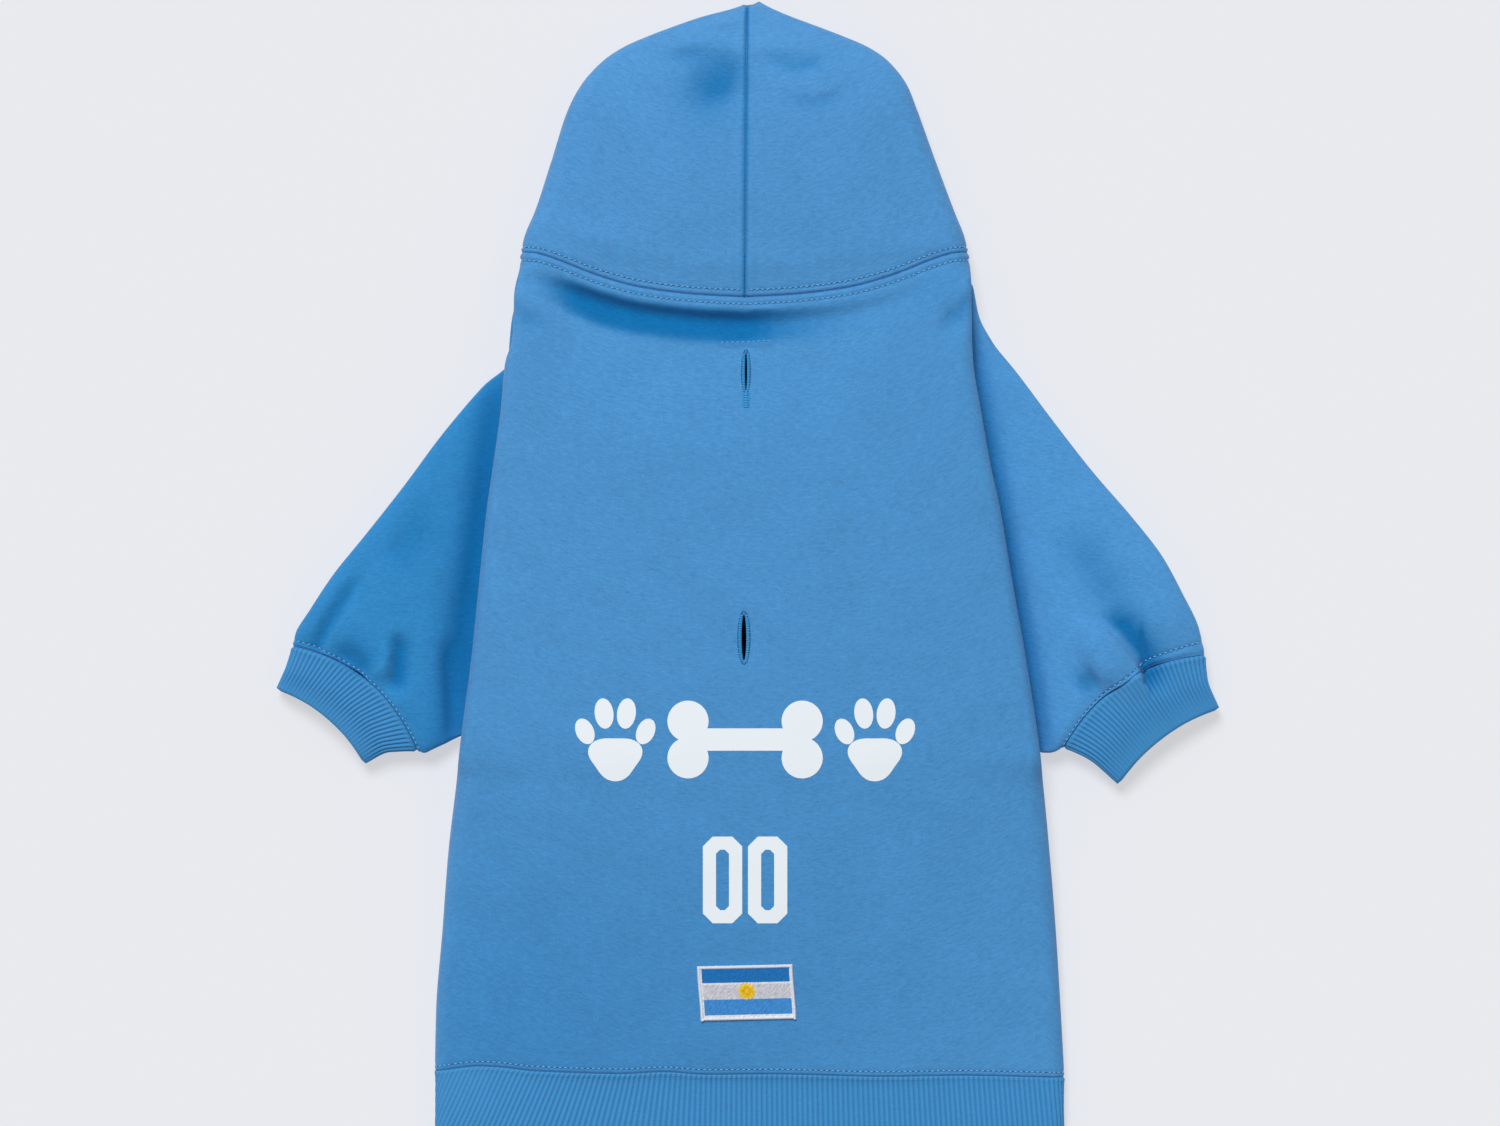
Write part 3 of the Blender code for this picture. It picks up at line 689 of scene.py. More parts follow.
def signed_volume(points: Array, faces: Sequence[Array]) -> float:
    """Six times the volume inside the faces, below 0 where they point inwards."""
    total = 0.0
    for block in faces:
        for corner in range(1, block.shape[1] - 1):
            a, b, c = (points[block[:, i]] for i in (0, corner, corner + 1))
            total += float(np.einsum("ij,ij->", a, np.cross(b, c)))
    return total


def run_along(points: Array, axis: int) -> Array:
    """The distance run along one axis of a grid of points, from 0 at its start."""
    step = np.linalg.norm(np.diff(points, axis=axis), axis=-1)
    start = np.zeros_like(np.take(step, [0], axis=axis))
    return np.concatenate([start, np.cumsum(step, axis=axis)], axis=axis)


def cloth_map(outer: Array, around: bool, middle: int) -> Array:
    """UV of a grid: metres run along its rows from the middle column, and along its columns."""
    grid = np.concatenate([outer, outer[:, :1]], axis=1) if around else outer
    across = run_along(grid, 1)
    along = run_along(grid, 0)
    across = across - across[:, middle : middle + 1]
    return joined(across, along)


def shell(
    name: str, outer: Array, inner: Array, around: bool = False, walls: tuple[bool, bool] = (True, True),
    middle: int = 0, hollow: Optional[Array] = None, flat: Optional[Array] = None,
) -> Piece:
    """A closed wall between two grids of points of one shape.

    Args:
        name: the piece's name.
        outer: the outer face's points, rows by columns.
        inner: the inner face's points.
        around: each row closes on itself.
        walls: whether the first and the last row get an edge, which a row that closes on itself
            in pairs goes without.
        middle: the column where U is 0.
        hollow: how much painted shade each point takes, from 0 to 1, most deep in a fold.
        flat: each point's place on the flat cloth, where it isn't its run along the grid.

    Returns:
        The object, smooth, with its faces outwards.
    """
    rows, columns = outer.shape[:2]
    last = columns if around else columns - 1
    if flat is None:
        uv = cloth_map(outer, around, middle)
    else:
        uv = np.concatenate([flat, flat[:, :1]], axis=1) if around else flat
    if hollow is not None:
        lie = np.concatenate([hollow, hollow[:, :1]], axis=1) if around else hollow
        uv = np.concatenate([uv, lie[..., None], 0 * lie[..., None]], axis=-1)
    row, column = (grid.ravel() for grid in np.mgrid[0 : rows - 1, 0:last])
    quad_rows = np.stack([row, row, row + 1, row + 1], axis=1)
    quad_columns = np.stack([column, column + 1, column + 1, column], axis=1)
    face = quad_rows * columns + quad_columns % columns
    count = rows * columns
    blocks = [face, face[:, ::-1] + count]
    maps = [uv[quad_rows, quad_columns], uv[quad_rows[:, ::-1], quad_columns[:, ::-1]]]

    def strip(a: tuple[Array, Array], b: tuple[Array, Array]) -> None:
        """Adds the edge that joins places a to b on the outer face to the inner face below."""
        first = a[0] * columns + a[1] % columns
        second = b[0] * columns + b[1] % columns
        blocks.append(np.stack([first, second, second + count, first + count], axis=1))
        maps.append(np.stack([uv[a], uv[b], uv[b], uv[a]], axis=1))

    step = np.arange(last)
    if walls[0]:
        strip((0 * step, step + 1), (0 * step, step))
    if walls[1]:
        strip((0 * step + rows - 1, step), (0 * step + rows - 1, step + 1))
    if not around:
        step = np.arange(rows - 1)
        strip((step, 0 * step), (step + 1, 0 * step))
        strip((step + 1, 0 * step + columns - 1), (step, 0 * step + columns - 1))
    points = np.concatenate([outer.reshape(-1, 3), inner.reshape(-1, 3)])
    if signed_volume(points, blocks) < 0:
        blocks = [block[:, ::-1] for block in blocks]
        maps = [block[:, ::-1] for block in maps]
    piece = object_of(name, points, blocks, maps)
    merge(piece)
    piece.data.shade_smooth()
    return piece


def merge(piece: Piece) -> None:
    """Joins vertices that meet, which drops faces of no size."""
    work = bmesh.new()
    work.from_mesh(piece.data)
    bmesh.ops.remove_doubles(work, verts=work.verts, dist=MERGE)
    work.to_mesh(piece.data)
    work.free()


class Cloth:
    """A wall of cloth given by two parameters."""

    node: str = ""
    wall: float = 0.0020
    reach: float = 0.002

    def __init__(self, cut: Pattern) -> None:
        """Keeps the sizes and the box of the panel's solid."""
        self.cut = cut
        low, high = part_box(self.node)
        self.low = np.array(low)
        self.high = np.array(high)

    def base(self, u: Array, v: Array, inset: float = 0.0) -> Array:
        """Points of the smooth panel, moved into the cloth by inset."""
        raise NotImplementedError

    def relief(self, u: Array, v: Array, points: Array) -> Array:
        """Height above the smooth panel along its normal."""
        return np.zeros(points.shape[:-1])

    def hollow(self, u: Array, v: Array, points: Array) -> Array:
        """How much painted shade the cloth takes, from 0 to 1, most where it lies deep in a fold."""
        return np.zeros(points.shape[:-1])

    def creased(self, folds: Sequence[Fold], points: Array) -> Array:
        """The height of the panel's folds over its points."""
        return sum(fold.rise(points[..., :2], self.low, self.high) for fold in folds)

    def walled(self, name: str, u: Array, v: Array, **how: Any) -> Piece:
        """The closed wall of cloth over a grid of parameters.

        Args:
            name: the piece's name.
            u: the places across or round it.
            v: the places along it.
            how: the choices of shell.

        Returns:
            The object.
        """
        v, u = np.meshgrid(v, u, indexing="ij")
        # depth is the painted shade, carried to the shader by the map "lie"
        depth = self.hollow(u, v, self.base(u, v))
        return shell(name, self.outer(u, v), self.inner(u, v), hollow=depth, **how)

    def normal(self, u: Array, v: Array) -> Array:
        """Unit normals out of the cloth, from differences along u and v."""
        u, v = pair(u, v)
        inside = np.clip(v, self.reach, 1 - self.reach)
        along_u = self.base(u + self.reach, v) - self.base(u - self.reach, v)
        along_v = self.base(u, inside + self.reach) - self.base(u, inside - self.reach)
        across = unit(np.cross(along_u, along_v))
        outwards = self.base(u, v) - self.base(u, v, self.wall)
        hand = np.where(np.sum(across * outwards, axis=-1, keepdims=True) < 0, -1.0, 1.0)
        return across * hand

    def outer(self, u: Array, v: Array, lift: Union[Array, float] = 0.0) -> Array:
        """Points of the finished outer face, raised by lift."""
        u, v = pair(u, v)
        points = self.base(u, v)
        height = self.relief(u, v, points) + lift
        return points + self.normal(u, v) * height[..., None]

    def inner(self, u: Array, v: Array) -> Array:
        """Points of the inner face, which follows the outer one at the wall's thickness."""
        u, v = pair(u, v)
        height = self.relief(u, v, self.base(u, v))
        return self.base(u, v, self.wall) + self.normal(u, v) * height[..., None]

    def even(self, u: tuple[float, float], v: float, pitch: float, samples: int = 900) -> Array:
        """Places on a row that lie an even pitch apart, measured along the finished cloth."""
        fine = np.linspace(u[0], u[1], samples)
        run = run_along(self.base(fine, np.full(samples, v))[None], 1)[0]
        count = max(int(run[-1] / pitch), 1)
        return np.interp(np.arange(count + 1) * run[-1] / count, run, fine)

    def stitch_row(
        self, name: str, u: tuple[float, float], v: float, pitch: float, kind: "Stitch"
    ) -> Piece:
        """A row of stitches along a row of the cloth.

        Args:
            name: the piece's name.
            u: the two ends of the row.
            v: where it runs.
            pitch: the length of one stitch with its gap.
            kind: the stitch's own sizes.

        Returns:
            One joined piece.
        """
        ends = self.even(u, v, pitch * kind.every)
        gap = (ends[1:] - ends[:-1]) * kind.gap / 2
        sway = kind.sway * (np.arange(len(gap)) % 2 * 2 - 1)
        first = self.outer(ends[:-1] + gap, np.full(len(gap), v) - sway, kind.lift)
        second = self.outer(ends[1:] - gap, np.full(len(gap), v) + sway, kind.lift)
        up = self.normal((ends[:-1] + ends[1:]) / 2, np.full(len(gap), v))
        return threads(name, first, second, up, kind.radius, kind.rise)


@dataclass(frozen=True)
class Stitch:
    """One kind of stitch.

    Args:
        radius: the thread's radius.
        rise: how far its middle arches up.
        lift: how far its ends lie above the cloth.
        gap: the share of the pitch between two stitches.
        sway: how far its ends swing to either side, in the cloth's v.
        every: its length in pitches.
    """

    radius: float = 0.26 * MM
    rise: float = 0.18 * MM
    lift: float = -0.05 * MM
    gap: float = 0.30
    sway: float = 0.0
    every: float = 1.0


def threads(
    name: str, start: Array, end: Array, up: Array, radius: float, rise: float, rings: int = 4,
    sides: int = 6,
) -> Piece:
    """Short threads as closed tubes, all in one piece.

    Each follows start + (end - start) t + up rise sin(pi t), its radius grows with sin(pi t)
    from two fifths to the whole, and both ends run out to a point.

    Args:
        name: the piece's name.
        start: one end of each thread.
        end: the other end.
        up: the way in which each arches.
        radius: the largest radius.
        rise: the height of the arch.
        rings: rings of vertices on each thread.
        sides: vertices in a ring.

    Returns:
        The joined piece.
    """
    count = len(start)
    t = np.linspace(0.04, 0.96, rings)
    way = end - start
    across = unit(np.cross(way, up))
    lift = unit(np.cross(across, way))
    middle = start[:, None] + way[:, None] * t[None, :, None]
    middle = middle + up[:, None] * (rise * np.sin(np.pi * t))[None, :, None]
    turn = 2 * np.pi * np.arange(sides) / sides
    size = radius * (0.4 + 0.6 * np.sin(np.pi * t))
    cosine, sine = np.cos(turn)[None, :, None], np.sin(turn)[None, :, None]
    spoke = across[:, None] * cosine + lift[:, None] * sine
    ring = middle[:, :, None] + spoke[:, None] * size[None, :, None, None]
    points = np.concatenate([ring.reshape(count, -1, 3), start[:, None], end[:, None]], axis=1)
    each = rings * sides + 2
    r, s = (grid.ravel() for grid in np.mgrid[0 : rings - 1, 0:sides])
    n = (s + 1) % sides
    quads = np.stack([r * sides + s, r * sides + n, (r + 1) * sides + n, (r + 1) * sides + s], axis=1)
    s = np.arange(sides)
    n = (s + 1) % sides
    top = (rings - 1) * sides
    caps = np.concatenate(
        [
            np.stack([n, s, 0 * s + each - 2], axis=1),
            np.stack([top + s, top + n, 0 * s + each - 1], axis=1),
        ]
    )
    shift = (np.arange(count) * each)[:, None, None]
    blocks = [(quads[None] + shift).reshape(-1, 4), (caps[None] + shift).reshape(-1, 3)]
    points = points.reshape(-1, 3)
    if signed_volume(points, blocks) < 0:
        blocks = [block[:, ::-1] for block in blocks]
    piece = object_of(name, points, blocks)
    piece.data.shade_smooth()
    return piece


@dataclass
class Seam:
    """How a sewn edge lies: the edge rolls down into the seam and a row of stitches dimples it.

    Args:
        drop: how deep the edge rolls.
        roll: over what distance.
        cord: the height of the narrow ridge beside the edge.
        cord_at: the ridge's distance from the seam.
        row_at: the distance of the row of stitches.
        dimple: how deep the row of stitches lies.
    """

    drop: float = 0.55 * MM
    roll: float = 0.8 * MM
    cord: float = 0.35 * MM
    cord_at: float = 1.8 * MM
    row_at: float = 3.3 * MM
    dimple: float = 0.40 * MM

    def rise(self, distance: Array) -> Array:
        """Height of the cloth at a distance from the seam."""
        return (
            self.cord * bell(distance - self.cord_at, 0.8 * MM)
            - self.drop * bell(distance, self.roll)
            - self.dimple * bell(distance - self.row_at, 0.65 * MM)
        )


def rib(place: Array) -> Array:
    """One rib's section against its place in whole ribs: a round ridge between narrow grooves."""
    within = place - np.floor(place)
    return 1 - np.abs(2 * within - 1) ** 2.0


@dataclass(frozen=True)
class Halves:
    """The section of one half of a lying tube, the form of the body, the hood and the hem.

    Args:
        start: where the half begins beside the middle line.
        half: the distance from the middle line to the fold.
        crown: the height at the middle.
        side: the height where the bend begins.
        under: the height of the bend's lower end.
        reach: where the turned-under cloth ends.
        power: the exponent of the crown's fall towards the side.
    """

    start: Any
    half: Any
    crown: Any
    side: Any
    under: Any
    reach: Any
    power: float

    def at(self, place: Array, inset: float) -> tuple[Array, Array]:
        """Distance from the middle line and height.

        Args:
            place: 0 at the middle, 1 where the bend begins, 2 where it ends underneath and 3 at
                the edge of the turned-under cloth.
            inset: how far the section lies inside the cloth.

        Returns:
            The distance and the height.
        """
        radius = (self.side - self.under) / 2
        centre = self.half - radius
        top = np.clip(place, 0, 1)
        turn = np.pi * np.clip(place - 1, 0, 1)
        back = np.clip(place - 2, 0, 1)
        x = self.start + (centre - self.start) * top
        x = x + (radius - inset) * np.sin(turn)
        x = x + (self.reach - centre) * back
        z = self.under + radius + (radius - inset) * np.cos(turn)
        share = np.clip(x / np.maximum(centre, 1e-6), 0, 1)
        z = z + np.where(place < 1, (self.crown - self.side) * (1 - share**self.power), 0)
        return x, z


class BackPanel(Cloth):
    """The back, from one turned-under edge over the crown to the other.

    u runs from -3 at the left edge through 0 at the middle to 3, v from the neck seam to the hem.
    """

    node = "back_panel"
    neck_seam = Seam()
    hem_seam = Seam(cord=0.20 * MM, cord_at=0.9 * MM, row_at=2.1 * MM, dimple=0.25 * MM)
    ripple = Ripple(0.45 * MM)
    fall = Fall()
    shelf = 0.75 * MM
    # Painted shade: low_shade darkens the lower half of the back, most on the left, and it is full in a
    # crease full_crease deep
    low_shade = 0.18
    full_crease = 3.2 * MM
    crown_columns = 80
    bend_columns = 12
    return_columns = 12
    fine_rows = 34
    coarse_rows = 122
    fine_to = 0.070

    def half(self, side: int, place: Array, v: Array, inset: float) -> Array:
        """Points of one half."""
        cut = self.cut
        share = BODY_ROWS.read("left" if side < 0 else "right", v)
        half = cut.neck_width / 2 + (cut.hem_width - cut.neck_width) / 2 * share
        shift = cut.neck_shift * (1 - share)
        fold_y = cut.neck_y - v * cut.back_length + cut.neck_bow * (1 - v) ** 2
        above = (fold_y - cut.armhole_top_y) / cut.armhole_drop
        below = (cut.armhole_bottom_y - fold_y) / cut.back_length
        rise = smooth((cut.roof_start - above) / (cut.roof_start - cut.roof_full))
        fall = smooth((cut.roof_ends - below) / (cut.roof_ends - cut.roof_leaves))
        section = Halves(
            0, half, cut.body_loft * BODY_ROWS.read("crown", v),
            cut.body_loft * BODY_ROWS.read("side", v), cut.sleeve_roof * rise * fall,
            side * (cut.side_seam(side, fold_y) - shift), cut.crown_power,
        )
        x, z = section.at(place, inset)
        across = x / half
        neck = np.where(place < 2, NECK_CURVE.read("rise", np.abs(across)), 1)
        y = cut.neck_y - v * cut.back_length + cut.neck_bow * neck * (1 - v) ** 2
        y = y - cut.hem_slant * side * across * v**4
        waver = cut.hem_depth * HEM_WAVER.read("rise", side * across)
        near = bell((1 - v) * cut.back_length, WAVER_RUN)
        y = y + waver * near * np.where(place < 1.5, 1, WAVER_INNER)
        swell = sum(dent.rise(side * across, v) for dent in BACK_DENTS)
        z = z + np.where(place < 1.5, cut.body_loft * swell, 0)
        return joined(side * x + shift, y, z)

    def base(self, u: Array, v: Array, inset: float = 0.0) -> Array:
        """Points of the smooth panel."""
        u, v = pair(u, v)
        left = self.half(Side.LEFT.value, np.abs(u), v, inset)
        right = self.half(Side.RIGHT.value, np.abs(u), v, inset)
        return np.where((u < 0)[..., None], left, right)

    def relief(self, u: Array, v: Array, points: Array) -> Array:
        """Seams, the fold below the neck, the label's box and faint unevenness."""
        cut = self.cut
        upper = smooth(1.7 - np.abs(u))
        down = v * cut.back_length
        up = (1 - v) * cut.back_length
        height = self.neck_seam.rise(down) + self.hem_seam.rise(up)
        plan = points[..., :2]
        away = smooth(down / (6 * MM)) * smooth(up / (6 * MM))
        folds = self.creased(BACK_FOLDS, points) + self.fall.rise(u, down)
        height = height + upper * (folds + away * self.ripple.rise(plan))
        return height + upper * LABEL.rise(plan, self)

    def hollow(self, u: Array, v: Array, points: Array) -> Array:
        """Painted shade in the fall below the neck, the small folds and the label's box, and over the
        lower half of the back, most on the left.
        """
        depth = self.fall.hollow(u, v * self.cut.back_length)
        depth = depth - self.creased(BACK_FOLDS, points) / self.full_crease
        low_left = smooth((v - 0.5) / 0.5) * np.clip(1 - 1.1 * u, 0, 2)
        depth = depth + LABEL.hollow(points[..., :2]) + self.low_shade * low_left
        return np.clip(depth, 0, 1) * smooth(1.7 - np.abs(u))

    def find(self, x: Array, y: Array) -> tuple[Array, Array]:
        """The parameters of plan points on the crown, by steps that shrink the miss.

        Args:
            x: X of the points.
            y: Y of the points.

        Returns:
            u and v.
        """
        half = self.cut.hem_width / 2
        u = np.asarray(x, float) / half
        v = (self.cut.neck_y - np.asarray(y, float)) / self.cut.back_length
        for _ in range(10):
            points = self.base(u, v)
            u = u + (x - points[..., 0]) / half
            v = v + (points[..., 1] - y) / self.cut.back_length
        return u, v

    def lay(self, plan: Array, lift: Union[Array, float]) -> Array:
        """Plan points laid on the finished back, raised by lift."""
        u, v = self.find(plan[..., 0], plan[..., 1])
        return self.outer(u, v, lift)

    def build(self) -> Piece:
        """The closed wall of cloth."""
        top = np.linspace(0, 1, self.crown_columns + 1)
        bend = 1 + np.arange(1, self.bend_columns + 1) / self.bend_columns
        back = 2 + np.arange(1, self.return_columns + 1) / self.return_columns
        half = np.concatenate([top, bend, back])
        u = np.concatenate([-half[:0:-1], half])
        v = np.concatenate(
            [
                np.linspace(0, self.fine_to, self.fine_rows)[:-1],
                np.linspace(self.fine_to, 0.985, self.coarse_rows)[:-1], np.linspace(0.985, 1, 9),
            ]
        )
        return self.walled("back_cloth", u, v, middle=len(half) - 1)


@dataclass(frozen=True)
class LabelBox:
    """The label sewn on inside below the neck, which shows as a stitched box.

    Args:
        left: its left side's X.
        right: its right side's X.
        top: its upper side's Y.
        bottom: its lower side's Y.
        pitch: the length of a stitch.
        lip: the height of the ridge along its upper right side.
        shade: how much painted shade darkens the cloth over it.
    """

    left: float = -13.3 * MM
    right: float = 9.7 * MM
    top: float = 119.8 * MM
    bottom: float = 107.1 * MM
    pitch: float = 2.3 * MM
    lip: float = 0.55 * MM
    shade: float = 0.10

    def rise(self, plan: Array, panel: BackPanel) -> Array:
        """The cloth is drawn down along the sides and the bottom of the box."""
        x, y = plan[..., 0], plan[..., 1]
        beside = smooth((y - self.bottom + 1 * MM) / MM) * smooth((self.top - y) / (2 * MM))
        within = smooth((x - self.left + 1 * MM) / MM) * smooth((self.right - x + 1 * MM) / MM)
        sides = bell(x - self.left, 0.7 * MM) + bell(x - self.right, 0.7 * MM)
        bottom = bell(y - self.bottom, 0.9 * MM)
        shelf = panel.shelf * within * bell(y - self.bottom + 2.0 * MM, 1.5 * MM)
        lip = self.lip * within * bell(y - self.top, 0.9 * MM) * smooth((x + 1 * MM) / (3 * MM))
        return -0.12 * MM * sides * beside - 0.45 * MM * bottom * within + shelf + lip

    def hollow(self, plan: Array) -> Array:
        """Painted shade over the label's box."""
        x, y = plan[..., 0], plan[..., 1]
        across = smooth((x - self.left) / MM) * smooth((self.right - x) / MM)
        return self.shade * across * smooth((y - self.bottom) / MM) * smooth((self.top - y) / MM)

    def stitches(self, panel: BackPanel) -> Piece:
        """The stitches along its bottom. Those of its sides sink out of sight."""
        across = int((self.right - self.left) / self.pitch)
        x = np.linspace(self.left, self.right, across + 1)
        first = joined(x[:-1], np.full(across, self.bottom))
        second = joined(x[1:], np.full(across, self.bottom))
        gap = (second - first) * 0.17
        u, v = panel.find(*((first + second) / 2).T)
        a = panel.lay(first + gap, 0.10 * MM)
        b = panel.lay(second - gap, 0.10 * MM)
        return threads("label_stitches", a, b, panel.normal(u, v), 0.28 * MM, 0.12 * MM)


LABEL = LabelBox()


class BellyPanel(Cloth):
    """The flat chest and belly piece between the two side seams, that the hoodie lies on.

    u runs from -1 at the left seam to 1, v from the neck to the hem.
    """

    node = "belly_panel"
    columns = 44
    rows = 60

    def base(self, u: Array, v: Array, inset: float = 0.0) -> Array:
        """Points of its upper face, or lower by inset."""
        cut = self.cut
        u, v = pair(u, v)
        top = cut.corner_y - cut.seam_gap
        y = top + (cut.hem_y - top) * v
        left = cut.side_seam(-1, y) + cut.seam_gap
        right = cut.side_seam(1, y) - cut.seam_gap
        x = (left + right) / 2 + (right - left) / 2 * u
        y = y - cut.hem_slant * x / (cut.hem_width / 2) * v**4
        return joined(x, y, np.full_like(x, self.wall - inset))

    def relief(self, u: Array, v: Array, points: Array) -> Array:
        """A rolled edge along both side seams."""
        edge = (1 - np.abs(u)) * (self.high[0] - self.low[0]) / 2
        return -0.35 * MM * bell(edge, 1.5 * MM)

    def build(self) -> Piece:
        """The closed wall of cloth."""
        across = np.sin(np.linspace(-np.pi / 2, np.pi / 2, self.columns))
        v, u = np.meshgrid(np.linspace(0, 1, self.rows), across, indexing="ij")
        lower = self.base(u, v, self.wall)
        flat = np.zeros(u.shape)
        return shell("belly_cloth", self.outer(u, v), lower, middle=self.columns // 2, hollow=flat)


class HoodHalf(Cloth):
    """One half of the hood, from the centre seam over the fold to the face opening's edge.

    u runs from 0 at the centre seam to 3 at the face opening, v from the neck seam to the peak.
    """

    seam = Seam(cord=0.30 * MM, cord_at=1.3 * MM, row_at=2.7 * MM, dimple=0.35 * MM)
    centre_drop = 0.8 * MM
    run_share = 1.15
    # Painted shade is full in a crease full_crease deep, and in a dent one part in dent_share of the loft
    # deep
    full_crease = 2.6 * MM
    dent_share = 3.6
    crown_columns = 58
    bend_columns = 12

    def __init__(self, cut: Pattern, side: Side) -> None:
        """Keeps which half it is."""
        self.side = side
        self.node = f"hood_{side.word}"
        self.ripple = Ripple(0.30 * MM, seed=11 + side.value)
        super().__init__(cut)

    @property
    def run(self) -> float:
        """The run of cloth from the neck seam to the peak."""
        return self.cut.hood_height * self.run_share

    def lean(self, v: Array) -> Array:
        """X of the middle line, which leans a little."""
        return self.cut.neck_shift * (1 - v) + self.cut.peak_lean * v

    def base(self, u: Array, v: Array, inset: float = 0.0) -> Array:
        """Points of the smooth half."""
        cut, side = self.cut, self.side.value
        u, v = pair(u, v)
        values = {name: HOOD_ROWS.read(name, v) for name in HOOD_ROWS.names}
        half = cut.neck_width / 2 * values[self.side.word]
        side_top = cut.hood_loft * values["side"]
        closing = smooth((v - HOOD_CLOSES) / (1 - HOOD_CLOSES))
        start = cut.drawn_gap / 2
        face = start + cut.face_opening_width / 2 * values["face"]
        section = Halves(start, half, cut.hood_loft * values["crown"], side_top, 0, face, cut.crown_power)
        x, z = section.at(np.abs(u), inset)
        across = x / np.maximum(half, 1e-6)
        middle_y = cut.neck_y + cut.hood_height * values["middle"]
        fold_y = cut.corner_y + (cut.hood_height - cut.neck_bow) * values["fold"]
        if self.side is Side.LEFT:
            fold_y = fold_y - cut.peak_step * smooth((v - 0.9) / 0.1)
        neck = NECK_CURVE.read("rise", np.abs(across))
        rise = np.where(u < 2, neck, 1 - closing * (1 - neck))
        y = middle_y + (fold_y - middle_y) * rise
        swell = sum(dent.rise(side * across, v) for dent in HOOD_DENTS)
        z = z + np.where(u < 1.5, cut.hood_loft * swell, 0)
        z = z + (side_top / 2 - z) * closing
        y = y - inset * closing + cut.drawn_gap * (1 - smooth(v / HOOD_LIFTS))
        return joined(side * x + self.lean(v), y, z)

    def relief(self, u: Array, v: Array, points: Array) -> Array:
        """The neck seam, the centre seam, creases and faint unevenness."""
        upper = smooth(1.7 - u)
        open_ = 1 - smooth((v - 0.90) / (HOOD_CLOSES - 0.90))
        beside = np.abs(points[..., 0] - self.lean(v))
        down = v * self.run
        height = self.seam.rise(down)
        centre = -self.centre_drop * bell(beside, 0.9 * MM)
        centre = centre + 0.28 * MM * bell(beside - 2.4 * MM, 1.3 * MM)
        folds = self.creased(HOOD_FOLDS[self.side], points)
        away = smooth(down / (6 * MM)) * smooth(beside / (5 * MM))
        height = height + upper * (centre + folds + away * self.ripple.rise(points[..., :2]))
        return height * open_

    def hollow(self, u: Array, v: Array, points: Array) -> Array:
        """Painted shade in the dents and folds near the peak, and along the centre seam."""
        folds = self.creased(HOOD_FOLDS[self.side], points)
        across = self.side.value * np.abs(u) * 0.9
        dents = sum(dent.rise(across, v) for dent in HOOD_DENTS)
        seam = bell(points[..., 0] - self.lean(v), 1.0 * MM)
        depth = seam - folds / self.full_crease - dents * self.dent_share
        return np.clip(depth, 0, 1) * smooth(1.7 - u)

    def build(self) -> Piece:
        """The closed wall of cloth, whose peak zips shut."""
        top = np.linspace(0, 1, self.crown_columns + 1) ** 1.12
        bend = 1 + np.arange(1, self.bend_columns) / self.bend_columns
        u = np.concatenate([top, bend, 3 - top[::-1]])
        v = np.concatenate([np.linspace(0, 0.06, 12)[:-1], np.linspace(0.06, 1, 86)])
        return self.walled(f"hood_{self.side.word}_cloth", u, v, walls=(True, False))


@dataclass(frozen=True)
class FlatTube:
    """A flattened tube's section between two folds.

    Args:
        outer: the outer fold's plan point.
        inner: the inner fold's plan point.
        bow: how far the middle is pushed along bulge.
        bulge: the way it is pushed.
        outer_loft: the height at the outer fold.
        inner_loft: the height at the inner fold.
        lift: the upper layer's own height, which fades out towards the folds.
        power: the exponent of the tube's edge.
    """

    outer: Array
    inner: Array
    bow: Any
    bulge: Array
    outer_loft: Any
    inner_loft: Any
    lift: Any
    power: float

    def at(self, angle: Array, inset: float) -> Array:
        """Points at angles round the section, 0 at the outer fold and pi at the inner one."""
        chord = self.inner - self.outer
        along = unit(chord)
        share = (1 - np.cos(angle)) / 2
        plan = self.outer + along * inset + (chord - 2 * along * inset) * share[..., None]
        plan = plan + self.bulge * (self.bow * 4 * share * (1 - share))[..., None]
        loft = self.outer_loft + (self.inner_loft - self.outer_loft) * share
        wave = np.sign(np.sin(angle)) * np.abs(np.sin(angle)) ** self.power
        z = loft / 2 + (loft / 2 - inset) * wave + self.lift * np.clip(wave, 0, 1)
        return np.concatenate([plan, z[..., None]], axis=-1)


class Limb(Cloth):
    """What a sleeve and its cuff share."""

    def __init__(self, cut: Pattern, side: Side) -> None:
        """Keeps which side it is on."""
        self.side = side
        super().__init__(cut)

    def edge(self, out: Array, down: Array) -> Array:
        """A plan point from its shares of the reach outwards and of the armhole downwards."""
        y = self.cut.armhole_top_y - self.cut.armhole_length * down
        x = self.cut.side_seam(self.side.value, y) + self.side.value * self.cut.sleeve_reach * out
        return joined(x, y)

    def bulge(self, outer: Array, inner: Array) -> Array:
        """The chord's unit normal on the side towards the armhole."""
        chord = inner - outer
        side = self.side.value
        return -unit(joined(-side * chord[..., 1], side * chord[..., 0]))

    def folds_at(self, v: Array) -> tuple[Array, Array, dict[str, Array]]:
        """The sleeve's two folds and its values along it."""
        rows = SLEEVE_ROWS[self.side]
        values = {name: rows.read(name, v) for name in rows.names}
        outer = self.edge(values["outer_out"], values["outer_down"])
        inner = self.edge(values["inner_out"], values["inner_down"])
        return outer, inner, values


